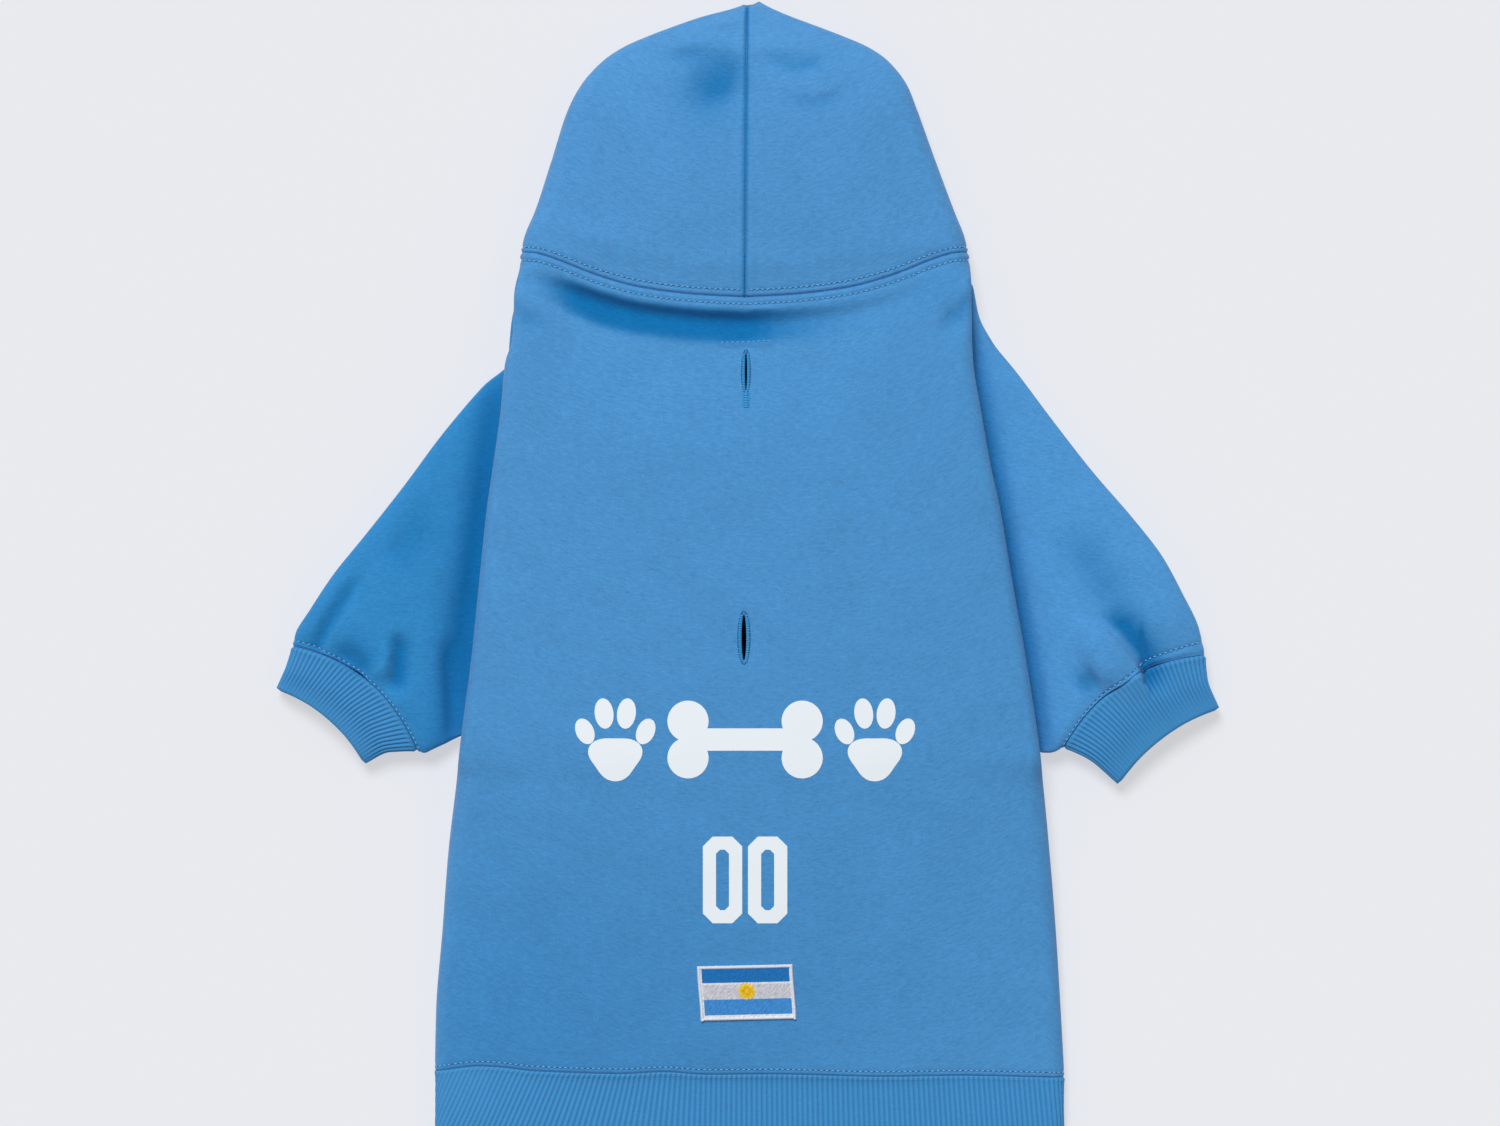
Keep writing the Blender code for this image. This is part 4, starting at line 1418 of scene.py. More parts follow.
class Sleeve(Limb):
    """A short raglan sleeve. u is the angle round it and v runs from the armhole to the cuff."""

    seam = Seam(cord=0.30 * MM, cord_at=1.6 * MM, row_at=3.6 * MM, dimple=0.40 * MM)
    run = 0.105
    # Painted shade is full in a crease full_crease deep
    full_crease = 2.9 * MM
    round_steps = 272
    rows = 98

    def __init__(self, cut: Pattern, side: Side) -> None:
        """Names its solid."""
        self.node = f"sleeve_{side.word}"
        self.ripple = Ripple(0.55 * MM, 0.018, 0.060, seed=21 + side.value)
        super().__init__(cut, side)

    def base(self, u: Array, v: Array, inset: float = 0.0) -> Array:
        """Points of the smooth sleeve."""
        cut = self.cut
        u, v = pair(u, v)
        outer, inner, values = self.folds_at(v)
        share = (1 - np.cos(u)) / 2
        tube = FlatTube(
            outer, inner, cut.cuff_seam_bow * v**2, self.bulge(outer, inner),
            cut.sleeve_loft * values["outer_loft"], cut.sleeve_loft * values["inner_loft"],
            cut.sleeve_loft * sum(dent.rise(share, v) for dent in SLEEVE_DENTS[self.side]),
            cut.tube_power,
        )
        return tube.at(u, inset)

    def relief(self, u: Array, v: Array, points: Array) -> Array:
        """The cuff seam, the folds of the upper layer and faint unevenness."""
        upper = np.clip(np.sin(u), 0, 1) ** 0.7
        up = (1 - v) * self.run
        height = self.seam.rise(up) * (0.4 + 0.6 * upper)
        folds = self.creased(SLEEVE_FOLDS[self.side], points)
        away = smooth(up / (6 * MM))
        return height + upper * (folds + away * self.ripple.rise(points[..., :2]))

    def hollow(self, u: Array, v: Array, points: Array) -> Array:
        """Painted shade in the creases and hollows of the upper layer."""
        creases = [fold for fold in SLEEVE_FOLDS[self.side] if fold.height < 0]
        depth = -self.creased(creases, points)
        return np.clip(depth / self.full_crease, 0, 1) * np.clip(np.sin(u), 0, 1) ** 0.5

    def build(self) -> Piece:
        """The closed wall of cloth."""
        u = 2 * np.pi * np.arange(self.round_steps) / self.round_steps
        v = 1 - np.linspace(1, 0, self.rows) ** 1.35
        flat = self.spread(*np.meshgrid(u, v))
        return self.walled(f"sleeve_{self.side.word}_cloth", u, v, around=True, flat=flat)

    def spread(self, u: Array, v: Array) -> Array:
        """Places on the flat cloth: the plan, which goes on outwards as a fold turns down."""
        points = self.base(u, v)
        outer, inner, _ = self.folds_at(v)
        fallen = (points[..., 2].max() - points[..., 2]) * np.cos(u)
        return points[..., :2] + unit(outer - inner) * fallen[..., None]


class Cuff(Limb):
    """A rib cuff. u runs once round it in even steps of cloth, v from the seam to the mouth."""

    wall = 0.0024
    # Painted shade is full in a crease full_crease deep
    full_crease = 2.9 * MM
    rib_pitch = 2.0 * MM
    steps_per_rib = 8
    rows = 26
    rib_height = 0.74 * MM

    def __init__(self, cut: Pattern, side: Side) -> None:
        """Names its solid and measures the way round its middle."""
        self.node = f"cuff_{side.word}"
        super().__init__(cut, side)
        self.turns = np.linspace(0, 2 * np.pi, 1601)
        sleeve_low, sleeve_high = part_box(f"sleeve_{side.word}")
        self.sleeve_box = (np.array(sleeve_low), np.array(sleeve_high))
        ring = self.at_angle(self.turns, np.full_like(self.turns, 0.4), 0.0)
        run = run_along(ring[None], 1)[0]
        self.shares = run / run[-1]
        self.ribs = round(run[-1] / self.rib_pitch)

    def at_angle(self, angle: Array, v: Array, inset: float) -> Array:
        """Points at angles round the cuff."""
        cut, side = self.cut, self.side.value
        rows = CUFF_ROWS[self.side]
        values = {name: rows.read(name, v) for name in rows.names}
        outer, inner, _ = self.folds_at(np.ones_like(v))
        bulge = self.bulge(outer, inner)
        clear = -bulge * (cut.drawn_gap * (1 - v))[..., None]
        outer_step = joined(side * values["outer_out"], -values["outer_down"])
        inner_step = joined(side * values["inner_out"], -values["inner_down"])
        loft = cut.sleeve_loft * values["loft"]
        tube = FlatTube(
            outer + cut.cuff_depth * outer_step + clear, inner + cut.cuff_depth * inner_step + clear,
            cut.cuff_seam_bow + (cut.cuff_mouth_bow - cut.cuff_seam_bow) * v, bulge, loft, loft, 0,
            cut.tube_power,
        )
        return tube.at(angle, inset)

    def base(self, u: Array, v: Array, inset: float = 0.0) -> Array:
        """Points of the smooth cuff."""
        u, v = pair(u, v)
        angle = np.interp(u - np.floor(u), self.shares, self.turns)
        return self.at_angle(angle, v, inset)

    def relief(self, u: Array, v: Array, points: Array) -> Array:
        """Ribs that run out at the mouth, and the edge drawn down into the seam."""
        edge = 1 - 0.80 * smooth((v - 0.62) / 0.36)
        gathered = smooth((v - 0.02) / 0.10)
        down = v * self.cut.cuff_depth
        seam = 0.30 * MM * bell(down - 1.3 * MM, 0.8 * MM) - 0.5 * MM * bell(down, 0.8 * MM)
        ribs = (rib(u * self.ribs) - 0.75) * self.rib_height * edge * gathered
        return ribs + seam + self.folds(u, v, points)

    def folds(self, u: Array, v: Array, points: Array) -> Array:
        """The sleeve's folds, which run out over the upper half of the cuff."""
        plan = points[..., :2]
        total = sum(fold.rise(plan, *self.sleeve_box) for fold in SLEEVE_FOLDS[self.side])
        angle = np.interp(u - np.floor(u), self.shares, self.turns)
        return total * np.clip(np.sin(angle), 0, 1) * (1 - smooth(v / 0.65))

    def hollow(self, u: Array, v: Array, points: Array) -> Array:
        """Painted shade in the grooves, towards the mouth, and in the sleeve's creases where they run
        into the cuff.
        """
        groove = 0.55 * (1 - rib(u * self.ribs)) * (1 - smooth((v - 0.55) / 0.4))
        # mouth: painted shade that grows towards the cuff's opening
        mouth = 0.18 * smooth((v - 0.45) / 0.5)
        return np.clip(groove + mouth - self.folds(u, v, points) / self.full_crease, 0, 1)

    def build(self) -> Piece:
        """The closed wall of rib knit."""
        count = self.ribs * self.steps_per_rib
        v = np.concatenate([np.linspace(0, 0.12, 6)[:-1], np.linspace(0.12, 1, self.rows - 5)])
        u = np.arange(count) / count
        return self.walled(f"cuff_{self.side.word}_rib", u, v, around=True)

    def inner(self, u: Array, v: Array) -> Array:
        """Points of the inner face, which follows the folds and not the ribs."""
        points = self.base(u, v)
        lift = self.folds(u, v, points)[..., None]
        return self.base(u, v, self.wall) + self.normal(u, v) * lift


class HemBand(Cloth):
    """The rib band round the hem.

    u runs once round it from -1 in the middle of the belly through 0 in the middle of the back,
    in even steps of cloth, and v from the seam to the free edge. The ribs follow u, which leans.
    """

    node = "hem_band"
    wall = 0.0024
    ribs = 257
    steps_per_rib = 6
    rows = 26
    rib_height = 0.75 * MM

    def half(self, side: int, run: Array, v: Array, inset: float) -> Array:
        """Points of one half at a run of cloth from the middle of the back."""
        cut = self.cut
        half = cut.hem_width / 2 * HEM_ROWS.read("width", v)
        crown = cut.body_loft * HEM_ROWS.read("crown", v)
        side_top = cut.body_loft * HEM_ROWS.read("side", v)
        radius = side_top / 2
        centre = half - radius
        bend = np.pi * radius
        past = run - centre
        bent = np.where(past < bend, 1 + past / bend, 2 + (past - bend) / centre)
        place = np.where(past < 0, run / centre, bent)
        x, z = Halves(0, half, crown, side_top, 0, 0, cut.crown_power).at(place, inset)
        y = cut.hem_y - cut.drawn_gap * (1 - v) - cut.hem_depth * v
        y = y - cut.hem_slant * side * x / half * (1 - v)
        waver = cut.hem_depth * HEM_WAVER.read("rise", side * x / half)
        near = bell(v * cut.hem_depth, WAVER_RUN)
        y = y + waver * near * np.where(place < 1.5, 1, WAVER_INNER)
        return joined(side * x, y, z)

    @property
    def half_round(self) -> float:
        """Half the way round the band."""
        radius = self.cut.body_loft * 0.35 / 2
        return 2 * (self.cut.hem_width / 2 - radius) + np.pi * radius

    def base(self, u: Array, v: Array, inset: float = 0.0) -> Array:
        """Points of the smooth band, with u leaning by the ribs' slope."""
        u, v = pair(u, v)
        lean = HEM_LEAN.read("slope", u) * v * self.cut.hem_depth
        run = u * self.half_round - lean
        reach = self.half_round
        run = (run + reach) % (2 * reach) - reach
        left = self.half(Side.LEFT.value, np.abs(run), v, inset)
        right = self.half(Side.RIGHT.value, np.abs(run), v, inset)
        return np.where((run < 0)[..., None], left, right)

    def relief(self, u: Array, v: Array, points: Array) -> Array:
        """Ribs, fainter at the free edge and at the upper left, and the edge at the seam."""
        edge = 1 - 0.5 * smooth((v - 0.93) / 0.07)
        gathered = smooth(v / 0.05)
        faint = 1 - 0.45 * bell(u + 0.45, 0.10) * (1 - v)
        down = v * self.cut.hem_depth
        seam = 0.22 * MM * bell(down - 1.2 * MM, 0.8 * MM) - 0.5 * MM * bell(down, 0.8 * MM)
        place = (u + 1) / 2 * self.ribs
        return (rib(place) - 0.75) * self.rib_height * edge * gathered * faint + seam

    def hollow(self, u: Array, v: Array, points: Array) -> Array:
        """Painted shade in the grooves between the ribs."""
        return 0.50 * (1 - rib((u + 1) / 2 * self.ribs)) * (1 - 0.4 * bell(u + 0.45, 0.10))

    def build(self) -> Piece:
        """The closed wall of rib knit."""
        count = self.ribs * self.steps_per_rib
        v = np.concatenate([np.linspace(0, 0.08, 6)[:-1], np.linspace(0.08, 1, self.rows - 5)])
        u = 2 * np.arange(count) / count - 1
        return self.walled("hem_rib", u, v, around=True, middle=count // 2)

    def inner(self, u: Array, v: Array) -> Array:
        """Points of the inner face, which is plain."""
        return self.base(u, v, self.wall)


@dataclass(frozen=True)
class Buttonhole:
    """A leash slit with its ring of purl threads, and a bar of threads across its lower end.

    Args:
        name: the pieces' common name.
        x: the slit's X.
        down: the slit's place down the back as a share of its length.
        length: the slit's length.
        width: the slit's width.
        purl: the length of a purl thread.
        bar: the length of the bar of threads, or 0 without one.
        pitch: the distance from thread to thread.
        radius: a thread's radius.
        sides: how many sides the cutting column has.
    """

    name: str
    x: float
    down: float
    length: float
    width: float
    purl: float = 1.25 * MM
    bar: float = 0.0
    pitch: float = 0.75 * MM
    radius: float = 0.33 * MM
    sides: int = 40

    def centre(self, cut: Pattern) -> Array:
        """The slit's plan centre."""
        return np.array([self.x, cut.neck_y - cut.back_length * self.down])

    def cut_through(self, piece: Piece, panel: BackPanel) -> None:
        """Cuts the lens out of the back with an upright elliptic column.

        Args:
            piece: the back's object.
            panel: the back's form.
        """
        base = np.arange(self.sides)
        top = base + self.sides
        turn = 2 * np.pi * base / self.sides
        centre = self.centre(panel.cut)
        height = float(panel.lay(centre[None], 0.0)[0, 2])
        x = centre[0] + np.sin(turn) * self.width / 2
        y = centre[1] + np.cos(turn) * self.length / 2
        depth = 3 * panel.wall
        rows = [joined(x, y, 0 * x + height + level) for level in (-depth, depth)]
        side = np.stack([base, np.roll(base, -1), np.roll(top, -1), top], axis=1)
        points = np.concatenate(rows)
        blocks = [side, base[None, ::-1], top[None]]
        if signed_volume(points, blocks) < 0:
            blocks = [block[:, ::-1] for block in blocks]
        cutter = object_of(f"{self.name}_cutter", points, blocks)
        work = piece.modifiers.new(self.name, "BOOLEAN")
        work.operation = "DIFFERENCE"
        work.solver = "MANIFOLD"
        work.object = cutter
        bpy.context.view_layer.objects.active = piece
        bpy.ops.object.modifier_apply(modifier=work.name)
        bpy.data.objects.remove(cutter)

    def ring(self, panel: BackPanel) -> Piece:
        """A dark line of thread where the purls enter the cloth, which paints the shade there."""
        turn = np.linspace(0, 2 * np.pi, 61)
        half = np.array([self.width / 2, self.length / 2]) + self.purl
        line = self.centre(panel.cut) + joined(np.sin(turn), np.cos(turn)) * half
        points = panel.lay(line, 0.02 * MM)
        up = np.tile([0.0, 0.0, 1.0], (60, 1))
        return threads(f"{self.name}_ring", points[:-1], points[1:], up, self.radius, 0.0)

    def purls(self, panel: BackPanel) -> Piece:
        """Threads that wrap the slit's edge, an even pitch apart round the ellipse."""
        fine = np.linspace(0, 2 * np.pi, 721)
        half = np.array([self.width / 2, self.length / 2])
        outline = joined(np.sin(fine), np.cos(fine)) * half
        run = run_along(outline[None], 1)[0]
        count = int(run[-1] / self.pitch)
        turn = np.interp(np.arange(count) * run[-1] / count, run, fine)
        edge = joined(np.sin(turn), np.cos(turn)) * half
        way = unit(joined(np.sin(turn) * half[1], np.cos(turn) * half[0]))
        uneven = 1 + 0.12 * np.sin(np.arange(count) * 2.4)[:, None]
        centre = self.centre(panel.cut)
        inside = centre + edge - way * 0.10 * MM
        outside = centre + edge + way * self.purl * uneven
        start = panel.lay(inside, -0.15 * MM)
        end = panel.lay(outside, 0.0)
        if self.bar:
            rows = int(self.bar / self.pitch)
            level = centre[1] - self.length / 2 - (np.arange(rows) + 1.5) * self.pitch
            reach = 1.9 * MM + 0.25 * MM * np.cos(np.arange(rows) * 2.1)
            left = joined(centre[0] - reach, level)
            right = joined(centre[0] + reach, level)
            start = np.concatenate([start, panel.lay(left, 0.0)])
            end = np.concatenate([end, panel.lay(right, 0.0)])
        up = np.tile([0.0, 0.0, 1.0], (len(start), 1))
        return threads(f"{self.name}_purl", start, end, up, self.radius, 0.42 * MM, rings=5)


UPPER_SLIT = Buttonhole("upper_slit", -0.0016, 0.0955, 0.0175, 0.0011, purl=1.4 * MM, bar=7.4 * MM)
LOWER_SLIT = Buttonhole("lower_slit", -0.0025, 0.4374, 0.0205, 0.0022, purl=1.6 * MM)


@dataclass
class BackPrint:
    """A paw, a bone and a paw in place of words, and a plain block number below them.

    Args:
        panel: the back that carries the print.
        row_y: the motifs' Y.
        number_y: the number's Y.
        middle: the row's X.
        film: the film's thickness.
        clear: how far its underside lies above the cloth.
    """

    panel: BackPanel
    row_y: float = -73.0 * MM
    number_y: float = -136.0 * MM
    middle: float = -2.0 * MM
    film: float = 0.12 * MM
    clear: float = 0.05 * MM
    paw_place: float = 58.0 * MM
    bone_half: float = 21.5 * MM
    bone_shaft: float = 5.0 * MM
    knuckle: float = 9.2 * MM
    knuckle_at: float = 8.2 * MM
    digit_width: float = 17.6 * MM
    digit_height: float = 39.0 * MM
    digit_gap: float = 2.6 * MM
    stroke: float = 5.9 * MM
    chamfer: float = 4.4 * MM

    def film_of(self, name: str, plan: Array, open_middle: bool) -> Piece:
        """A film whose plan is a grid of closed rows, from its middle to its outline.

        Args:
            name: the piece's name.
            plan: plan points, rows by columns.
            open_middle: the first row is an edge of the film too, as round a number's hole.

        Returns:
            The closed film, a little above the cloth.
        """
        top = self.panel.lay(plan, self.clear + self.film)
        bottom = self.panel.lay(plan, self.clear)
        piece = shell(name, top, bottom, around=True, walls=(open_middle, True))
        piece.data.set_sharp_from_angle(angle=math.radians(50))
        return piece

    def pad(self, x: float, y: float, wide: float, high: float, turn: float, lobes: float) -> Array:
        """A rounded pad in polar form, radius 1 + lobes cos 3a, stretched and turned."""
        angle = 2 * np.pi * np.arange(72) / 72
        radius = 1 + lobes * np.cos(3 * (angle - np.pi / 2))
        share = np.linspace(0, 1, 9)[:, None]
        a, b = np.cos(angle) * radius * wide * share, np.sin(angle) * radius * high * share
        cosine, sine = turned(turn)
        return joined(x + a * cosine - b * sine, y + a * sine + b * cosine)

    def paw(self, name: str, x: float) -> list[Piece]:
        """One large pad under four toes."""
        y = self.row_y
        pads = {
            "palm": self.pad(x, y - 8.0 * MM, 11.6 * MM, 9.6 * MM, 0, -0.12),
            "toe_a": self.pad(x - 13.6 * MM, y + 3.6 * MM, 4.0 * MM, 6.0 * MM, 24, 0),
            "toe_b": self.pad(x - 5.0 * MM, y + 11.6 * MM, 4.2 * MM, 6.8 * MM, 7, 0),
            "toe_c": self.pad(x + 5.0 * MM, y + 11.6 * MM, 4.2 * MM, 6.8 * MM, -7, 0),
            "toe_d": self.pad(x + 13.6 * MM, y + 3.6 * MM, 4.0 * MM, 6.0 * MM, -24, 0),
        }
        return [self.film_of(f"{name}_{part}", plan, False) for part, plan in pads.items()]

    def bone(self) -> Piece:
        """A bone: a shaft with two round knuckles at each end.

        Its outline is seen from a spine along the shaft. Round each end it is the farther exit of
        a ray out of the two knuckles' circles, and along the shaft it is straight.
        """
        end = self.bone_half
        centre = np.array([4.0 * MM, self.knuckle_at])
        near = centre[0] - math.sqrt(self.knuckle**2 - (self.knuckle_at - self.bone_shaft) ** 2)
        limit = math.atan2(self.bone_shaft, near)
        angle = np.linspace(limit, -limit, 81)
        way = joined(np.cos(angle), np.sin(angle))
        exits = []
        for hand in (1, -1):
            out = way @ (centre * [1, hand])
            exits.append(out + np.sqrt(np.maximum(out**2 - centre @ centre + self.knuckle**2, 0)))
        cap = way * np.maximum(*exits)[:, None]
        shaft = np.linspace(-1, 1, 41)[1:-1]
        right_spine = np.tile([end, 0.0], (len(cap), 1))
        top_spine = joined(shaft * end, 0 * shaft)
        top_line = joined(shaft * (end + near), 0 * shaft + self.bone_shaft)
        spine = np.concatenate([top_spine, right_spine, -top_spine, -right_spine])
        line = np.concatenate([top_line, right_spine + cap, -top_line, -right_spine - cap])
        share = np.linspace(0, 1, 9)[:, None, None]
        plan = spine * (1 - share) + line * share + np.array([self.middle, self.row_y])
        return self.film_of("print_bone", plan, False)

    def digit(self, name: str, x: float) -> Piece:
        """A block nought: a ring between two rectangles with cut corners."""

        def ring(wide: float, high: float, cut: float) -> Array:
            """An eight-sided outline with ten even steps on each side."""
            half = np.array([(wide - cut, high), (wide, high - cut)])
            half = np.concatenate([half, half[::-1] * [1, -1]])
            corners = np.concatenate([half, -half])
            onward = np.roll(corners, -1, axis=0)
            step = (np.arange(10) / 10)[None, :, None]
            return (corners[:, None] * (1 - step) + onward[:, None] * step).reshape(-1, 2)

        wide, high = self.digit_width / 2, self.digit_height / 2
        hole = ring(wide - self.stroke, high - self.stroke, self.chamfer * 0.42)
        line = ring(wide, high, self.chamfer)
        share = np.linspace(0, 1, 7)[:, None, None]
        plan = hole * (1 - share) + line * share + np.array([x, self.number_y])
        return self.film_of(name, plan, True)

    def build(self) -> list[Piece]:
        """All pieces of the print."""
        step = (self.digit_width + self.digit_gap) / 2
        pieces = self.paw("print_paw_left", self.middle - self.paw_place)
        pieces += self.paw("print_paw_right", self.middle + self.paw_place)
        pieces.append(self.bone())
        pieces.append(self.digit("print_digit_left", self.middle - step))
        pieces.append(self.digit("print_digit_right", self.middle + step))
        return pieces


@dataclass
class FlagPatch:
    """The small embroidered patch: a raised border round three stripes and a plain sun.

    Args:
        panel: the back that carries it.
    """

    panel: BackPanel
    width: float = 43.0 * MM
    height: float = 24.7 * MM
    thickness: float = 0.9 * MM
    clear: float = 0.12 * MM
    tilt: float = 1.3
    x: float = -1.3 * MM
    down: float = 0.8940
    border: float = 1.4 * MM
    lean: float = 0.55 * MM
    thread_pitch: float = 0.62 * MM
    thread_slip: float = 0.25 * MM
    columns: int = 170
    rows: int = 98

    def placed(self, u: Array, v: Array) -> Array:
        """Plan points of the patch's own, leaning and turned, at its place on the back."""
        cosine, sine = turned(self.tilt)
        u = u - self.lean * np.sin(v / self.height * np.pi)
        y = self.panel.cut.neck_y - self.panel.cut.back_length * self.down
        return joined(self.x + u * cosine - v * sine, y + u * sine + v * cosine)

    def build(self) -> Piece:
        """A closed slab, thinner at its rim, whose border and sun stand up a little."""
        u = np.linspace(-1, 1, self.columns) * self.width / 2
        v = np.linspace(1, -1, self.rows) * self.height / 2
        v, u = np.meshgrid(v, u, indexing="ij")
        cosine, sine = turned(self.tilt)
        x = self.x + (u - self.lean * np.sin(v / self.height * np.pi)) * cosine - v * sine
        y = self.panel.cut.neck_y - self.panel.cut.back_length * self.down
        plan = joined(x, y + u * sine + v * cosine)
        rim = np.minimum(self.width / 2 - np.abs(u), self.height / 2 - np.abs(v))
        sun = np.hypot(u + 0.2 * MM, v)
        edge = np.minimum(rim, self.border - rim)
        rise = -0.45 * MM * bell(rim, 0.35 * MM) + 0.28 * MM * smooth(edge / (0.6 * MM))
        rise = rise + 0.16 * MM * smooth((3.9 * MM - sun) / (0.6 * MM))
        satin = 0.045 * MM * np.sin(2 * np.pi * (u + v) / (0.75 * MM)) * (rim > self.border)
        base_u, base_v = self.panel.find(plan[..., 0], plan[..., 1])
        up = self.panel.normal(base_u, base_v)
        ground = self.panel.outer(base_u, base_v, self.clear)
        top = ground + up * (self.thickness + rise + satin)[..., None]
        return shell("patch_embroidery", top, ground, middle=self.columns // 2)

    def edge_stitches(self) -> Piece:
        """Fine satin threads across the patch's border, all the way round."""
        wide, high = self.width / 2, self.height / 2
        across = np.arange(-wide + self.border, wide - self.border, self.thread_pitch)
        up = np.arange(-high, high, self.thread_pitch)
        start, end = [], []
        for hand in (1, -1):
            inner_x, inner_y = hand * (wide - self.border), hand * (high - self.border)
            start += [joined(across, 0 * across + hand * high), joined(0 * up + hand * wide, up)]
            end.append(joined(across + self.thread_slip, 0 * across + inner_y))
            end.append(joined(0 * up + inner_x, up + self.thread_slip))
        first, second = (self.placed(*np.concatenate(ends).T) for ends in (start, end))
        level = self.clear + self.thickness
        ups = np.tile([0.0, 0.0, 1.0], (len(first), 1))
        return threads(
            "patch_border", self.panel.lay(first, level - 0.45 * MM),
            self.panel.lay(second, level + 0.05 * MM), ups, 0.34 * MM, 0.50 * MM, rings=5,
        )


class Wire:
    """A shader socket that takes part in Python expressions."""

    def __init__(self, bench: "Bench", socket: bpy.types.NodeSocket) -> None:
        """Keeps the socket and its tree."""
        self.bench = bench
        self.socket = socket

    def __add__(self, other: Union["Wire", Number]) -> "Wire":
        """The sum."""
        return self.bench.maths("ADD", self, other)

    __radd__ = __add__

    def __sub__(self, other: Union["Wire", Number]) -> "Wire":
        """The difference."""
        return self.bench.maths("SUBTRACT", self, other)

    def __rsub__(self, other: Number) -> "Wire":
        """A number less this."""
        return self.bench.maths("SUBTRACT", other, self)

    def __mul__(self, other: Union["Wire", Number]) -> "Wire":
        """The product."""
        return self.bench.maths("MULTIPLY", self, other)

    __rmul__ = __mul__

    def __abs__(self) -> "Wire":
        """The size without its sign."""
        return self.bench.maths("ABSOLUTE", self)

    def sine(self) -> "Wire":
        """The sine."""
        return self.bench.maths("SINE", self)

    def root(self) -> "Wire":
        """The square root."""
        return self.bench.maths("SQRT", self)

    def over(self, low: float, high: float) -> "Wire":
        """A smooth step from 0 at low to 1 at high."""
        ends = {0: self, 1: low, 2: high, 3: 0.0, 4: 1.0}
        return self.bench.wire("ShaderNodeMapRange", {"interpolation_type": "SMOOTHSTEP"}, ends)


class Bench:
    """One material's shader tree and the ways to add to it."""

    def __init__(self, name: str) -> None:
        """An empty tree."""
        self.material = bpy.data.materials.new(name)
        self.material.use_nodes = True
        self.tree = self.material.node_tree
        self.tree.nodes.clear()

    def node(
        self, kind: str, settings: Optional[dict[str, Any]] = None,
        inputs: Optional[dict[Union[int, str], Any]] = None,
    ) -> bpy.types.Node:
        """Any node.

        Args:
            kind: the node's type.
            settings: its own settings, set before its sockets.
            inputs: values or wires for its sockets, by name or number.

        Returns:
            The node.
        """
        node = self.tree.nodes.new(kind)
        for key, value in (settings or {}).items():
            setattr(node, key, value)
        for key, value in (inputs or {}).items():
            if isinstance(value, Wire):
                self.tree.links.new(value.socket, node.inputs[key])
            else:
                node.inputs[key].default_value = value
        return node

    def wire(
        self, kind: str, settings: Optional[dict[str, Any]] = None,
        inputs: Optional[dict[Union[int, str], Any]] = None, at: Union[int, str] = 0,
    ) -> Wire:
        """One output of a new node, its first unless at names another."""
        return Wire(self, self.node(kind, settings, inputs).outputs[at])

    def maths(self, operation: str, *values: Union[Wire, Number]) -> Wire:
        """A Math node on wires and numbers."""
        return self.wire("ShaderNodeMath", {"operation": operation}, dict(enumerate(values)))

    def metres(self) -> Wire:
        """The piece's own UV, in metres along the cloth."""
        return self.wire("ShaderNodeUVMap", {"uv_map": "cloth"})

    def place(self) -> Wire:
        """Object coordinates."""
        return self.wire("ShaderNodeTexCoord", at="Object")

    def split(self, vector: Wire) -> tuple[Wire, Wire]:
        """A vector's first two parts."""
        node = self.node("ShaderNodeSeparateXYZ", inputs={0: vector})
        return Wire(self, node.outputs[0]), Wire(self, node.outputs[1])

    def noise(self, vector: Wire, size: Sequence[float], detail: float = 2.0, rough: float = 0.5) -> Wire:
        """Noise about 0, its grains of the given size in metres each way."""
        scale = tuple(1 / length for length in size)
        grains = self.wire("ShaderNodeVectorMath", {"operation": "MULTIPLY"}, {0: vector, 1: scale})
        inputs = {"Vector": grains, "Scale": 1.0, "Detail": detail, "Roughness": rough}
        return self.wire("ShaderNodeTexNoise", inputs=inputs) - 0.5

    def scaled(self, colour: Union[Wire, Colour], factor: Wire) -> Wire:
        """A colour times a factor."""
        inputs = {0: colour, "Scale": factor}
        return self.wire("ShaderNodeVectorMath", {"operation": "SCALE"}, inputs)

    def shaded_in_folds(self, dye: Colour, deep: Colour, tone: Wire) -> Wire:
        """Cloth's colour times its tone, mixed towards the painted shade colour by the map "lie"."""
        hollow, _ = self.split(self.wire("ShaderNodeUVMap", {"uv_map": "lie"}))
        return self.scaled(self.blend(hollow, dye, deep), tone)

    def blend(self, factor: Wire, under: Union[Wire, Colour], over: Union[Wire, Colour]) -> Wire:
        """A mix of two colours."""
        node = self.node("ShaderNodeMix", {"data_type": "RGBA"}, {"Factor": factor})
        for socket, value in ((node.inputs[6], under), (node.inputs[7], over)):
            if isinstance(value, Wire):
                self.tree.links.new(value.socket, socket)
            else:
                socket.default_value = (*value, 1.0)
        return Wire(self, node.outputs[2])

    def bump(self, height: Wire, distance: float, strength: float = 1.0) -> Wire:
        """A normal from a height of 0 to 1 that stands distance metres high."""
        inputs = {"Height": height, "Distance": distance, "Strength": strength}
        return self.wire("ShaderNodeBump", inputs=inputs)

    def surface(self, inputs: dict[str, Any]) -> Finish:
        """Ends the tree in a principled shader.

        Args:
            inputs: wires and constants for its sockets.

        Returns:
            The material.
        """
        shader = self.node("ShaderNodeBsdfPrincipled", inputs=inputs)
        self.node("ShaderNodeOutputMaterial", inputs={0: Wire(self, shader.outputs[0])})
        return self.material


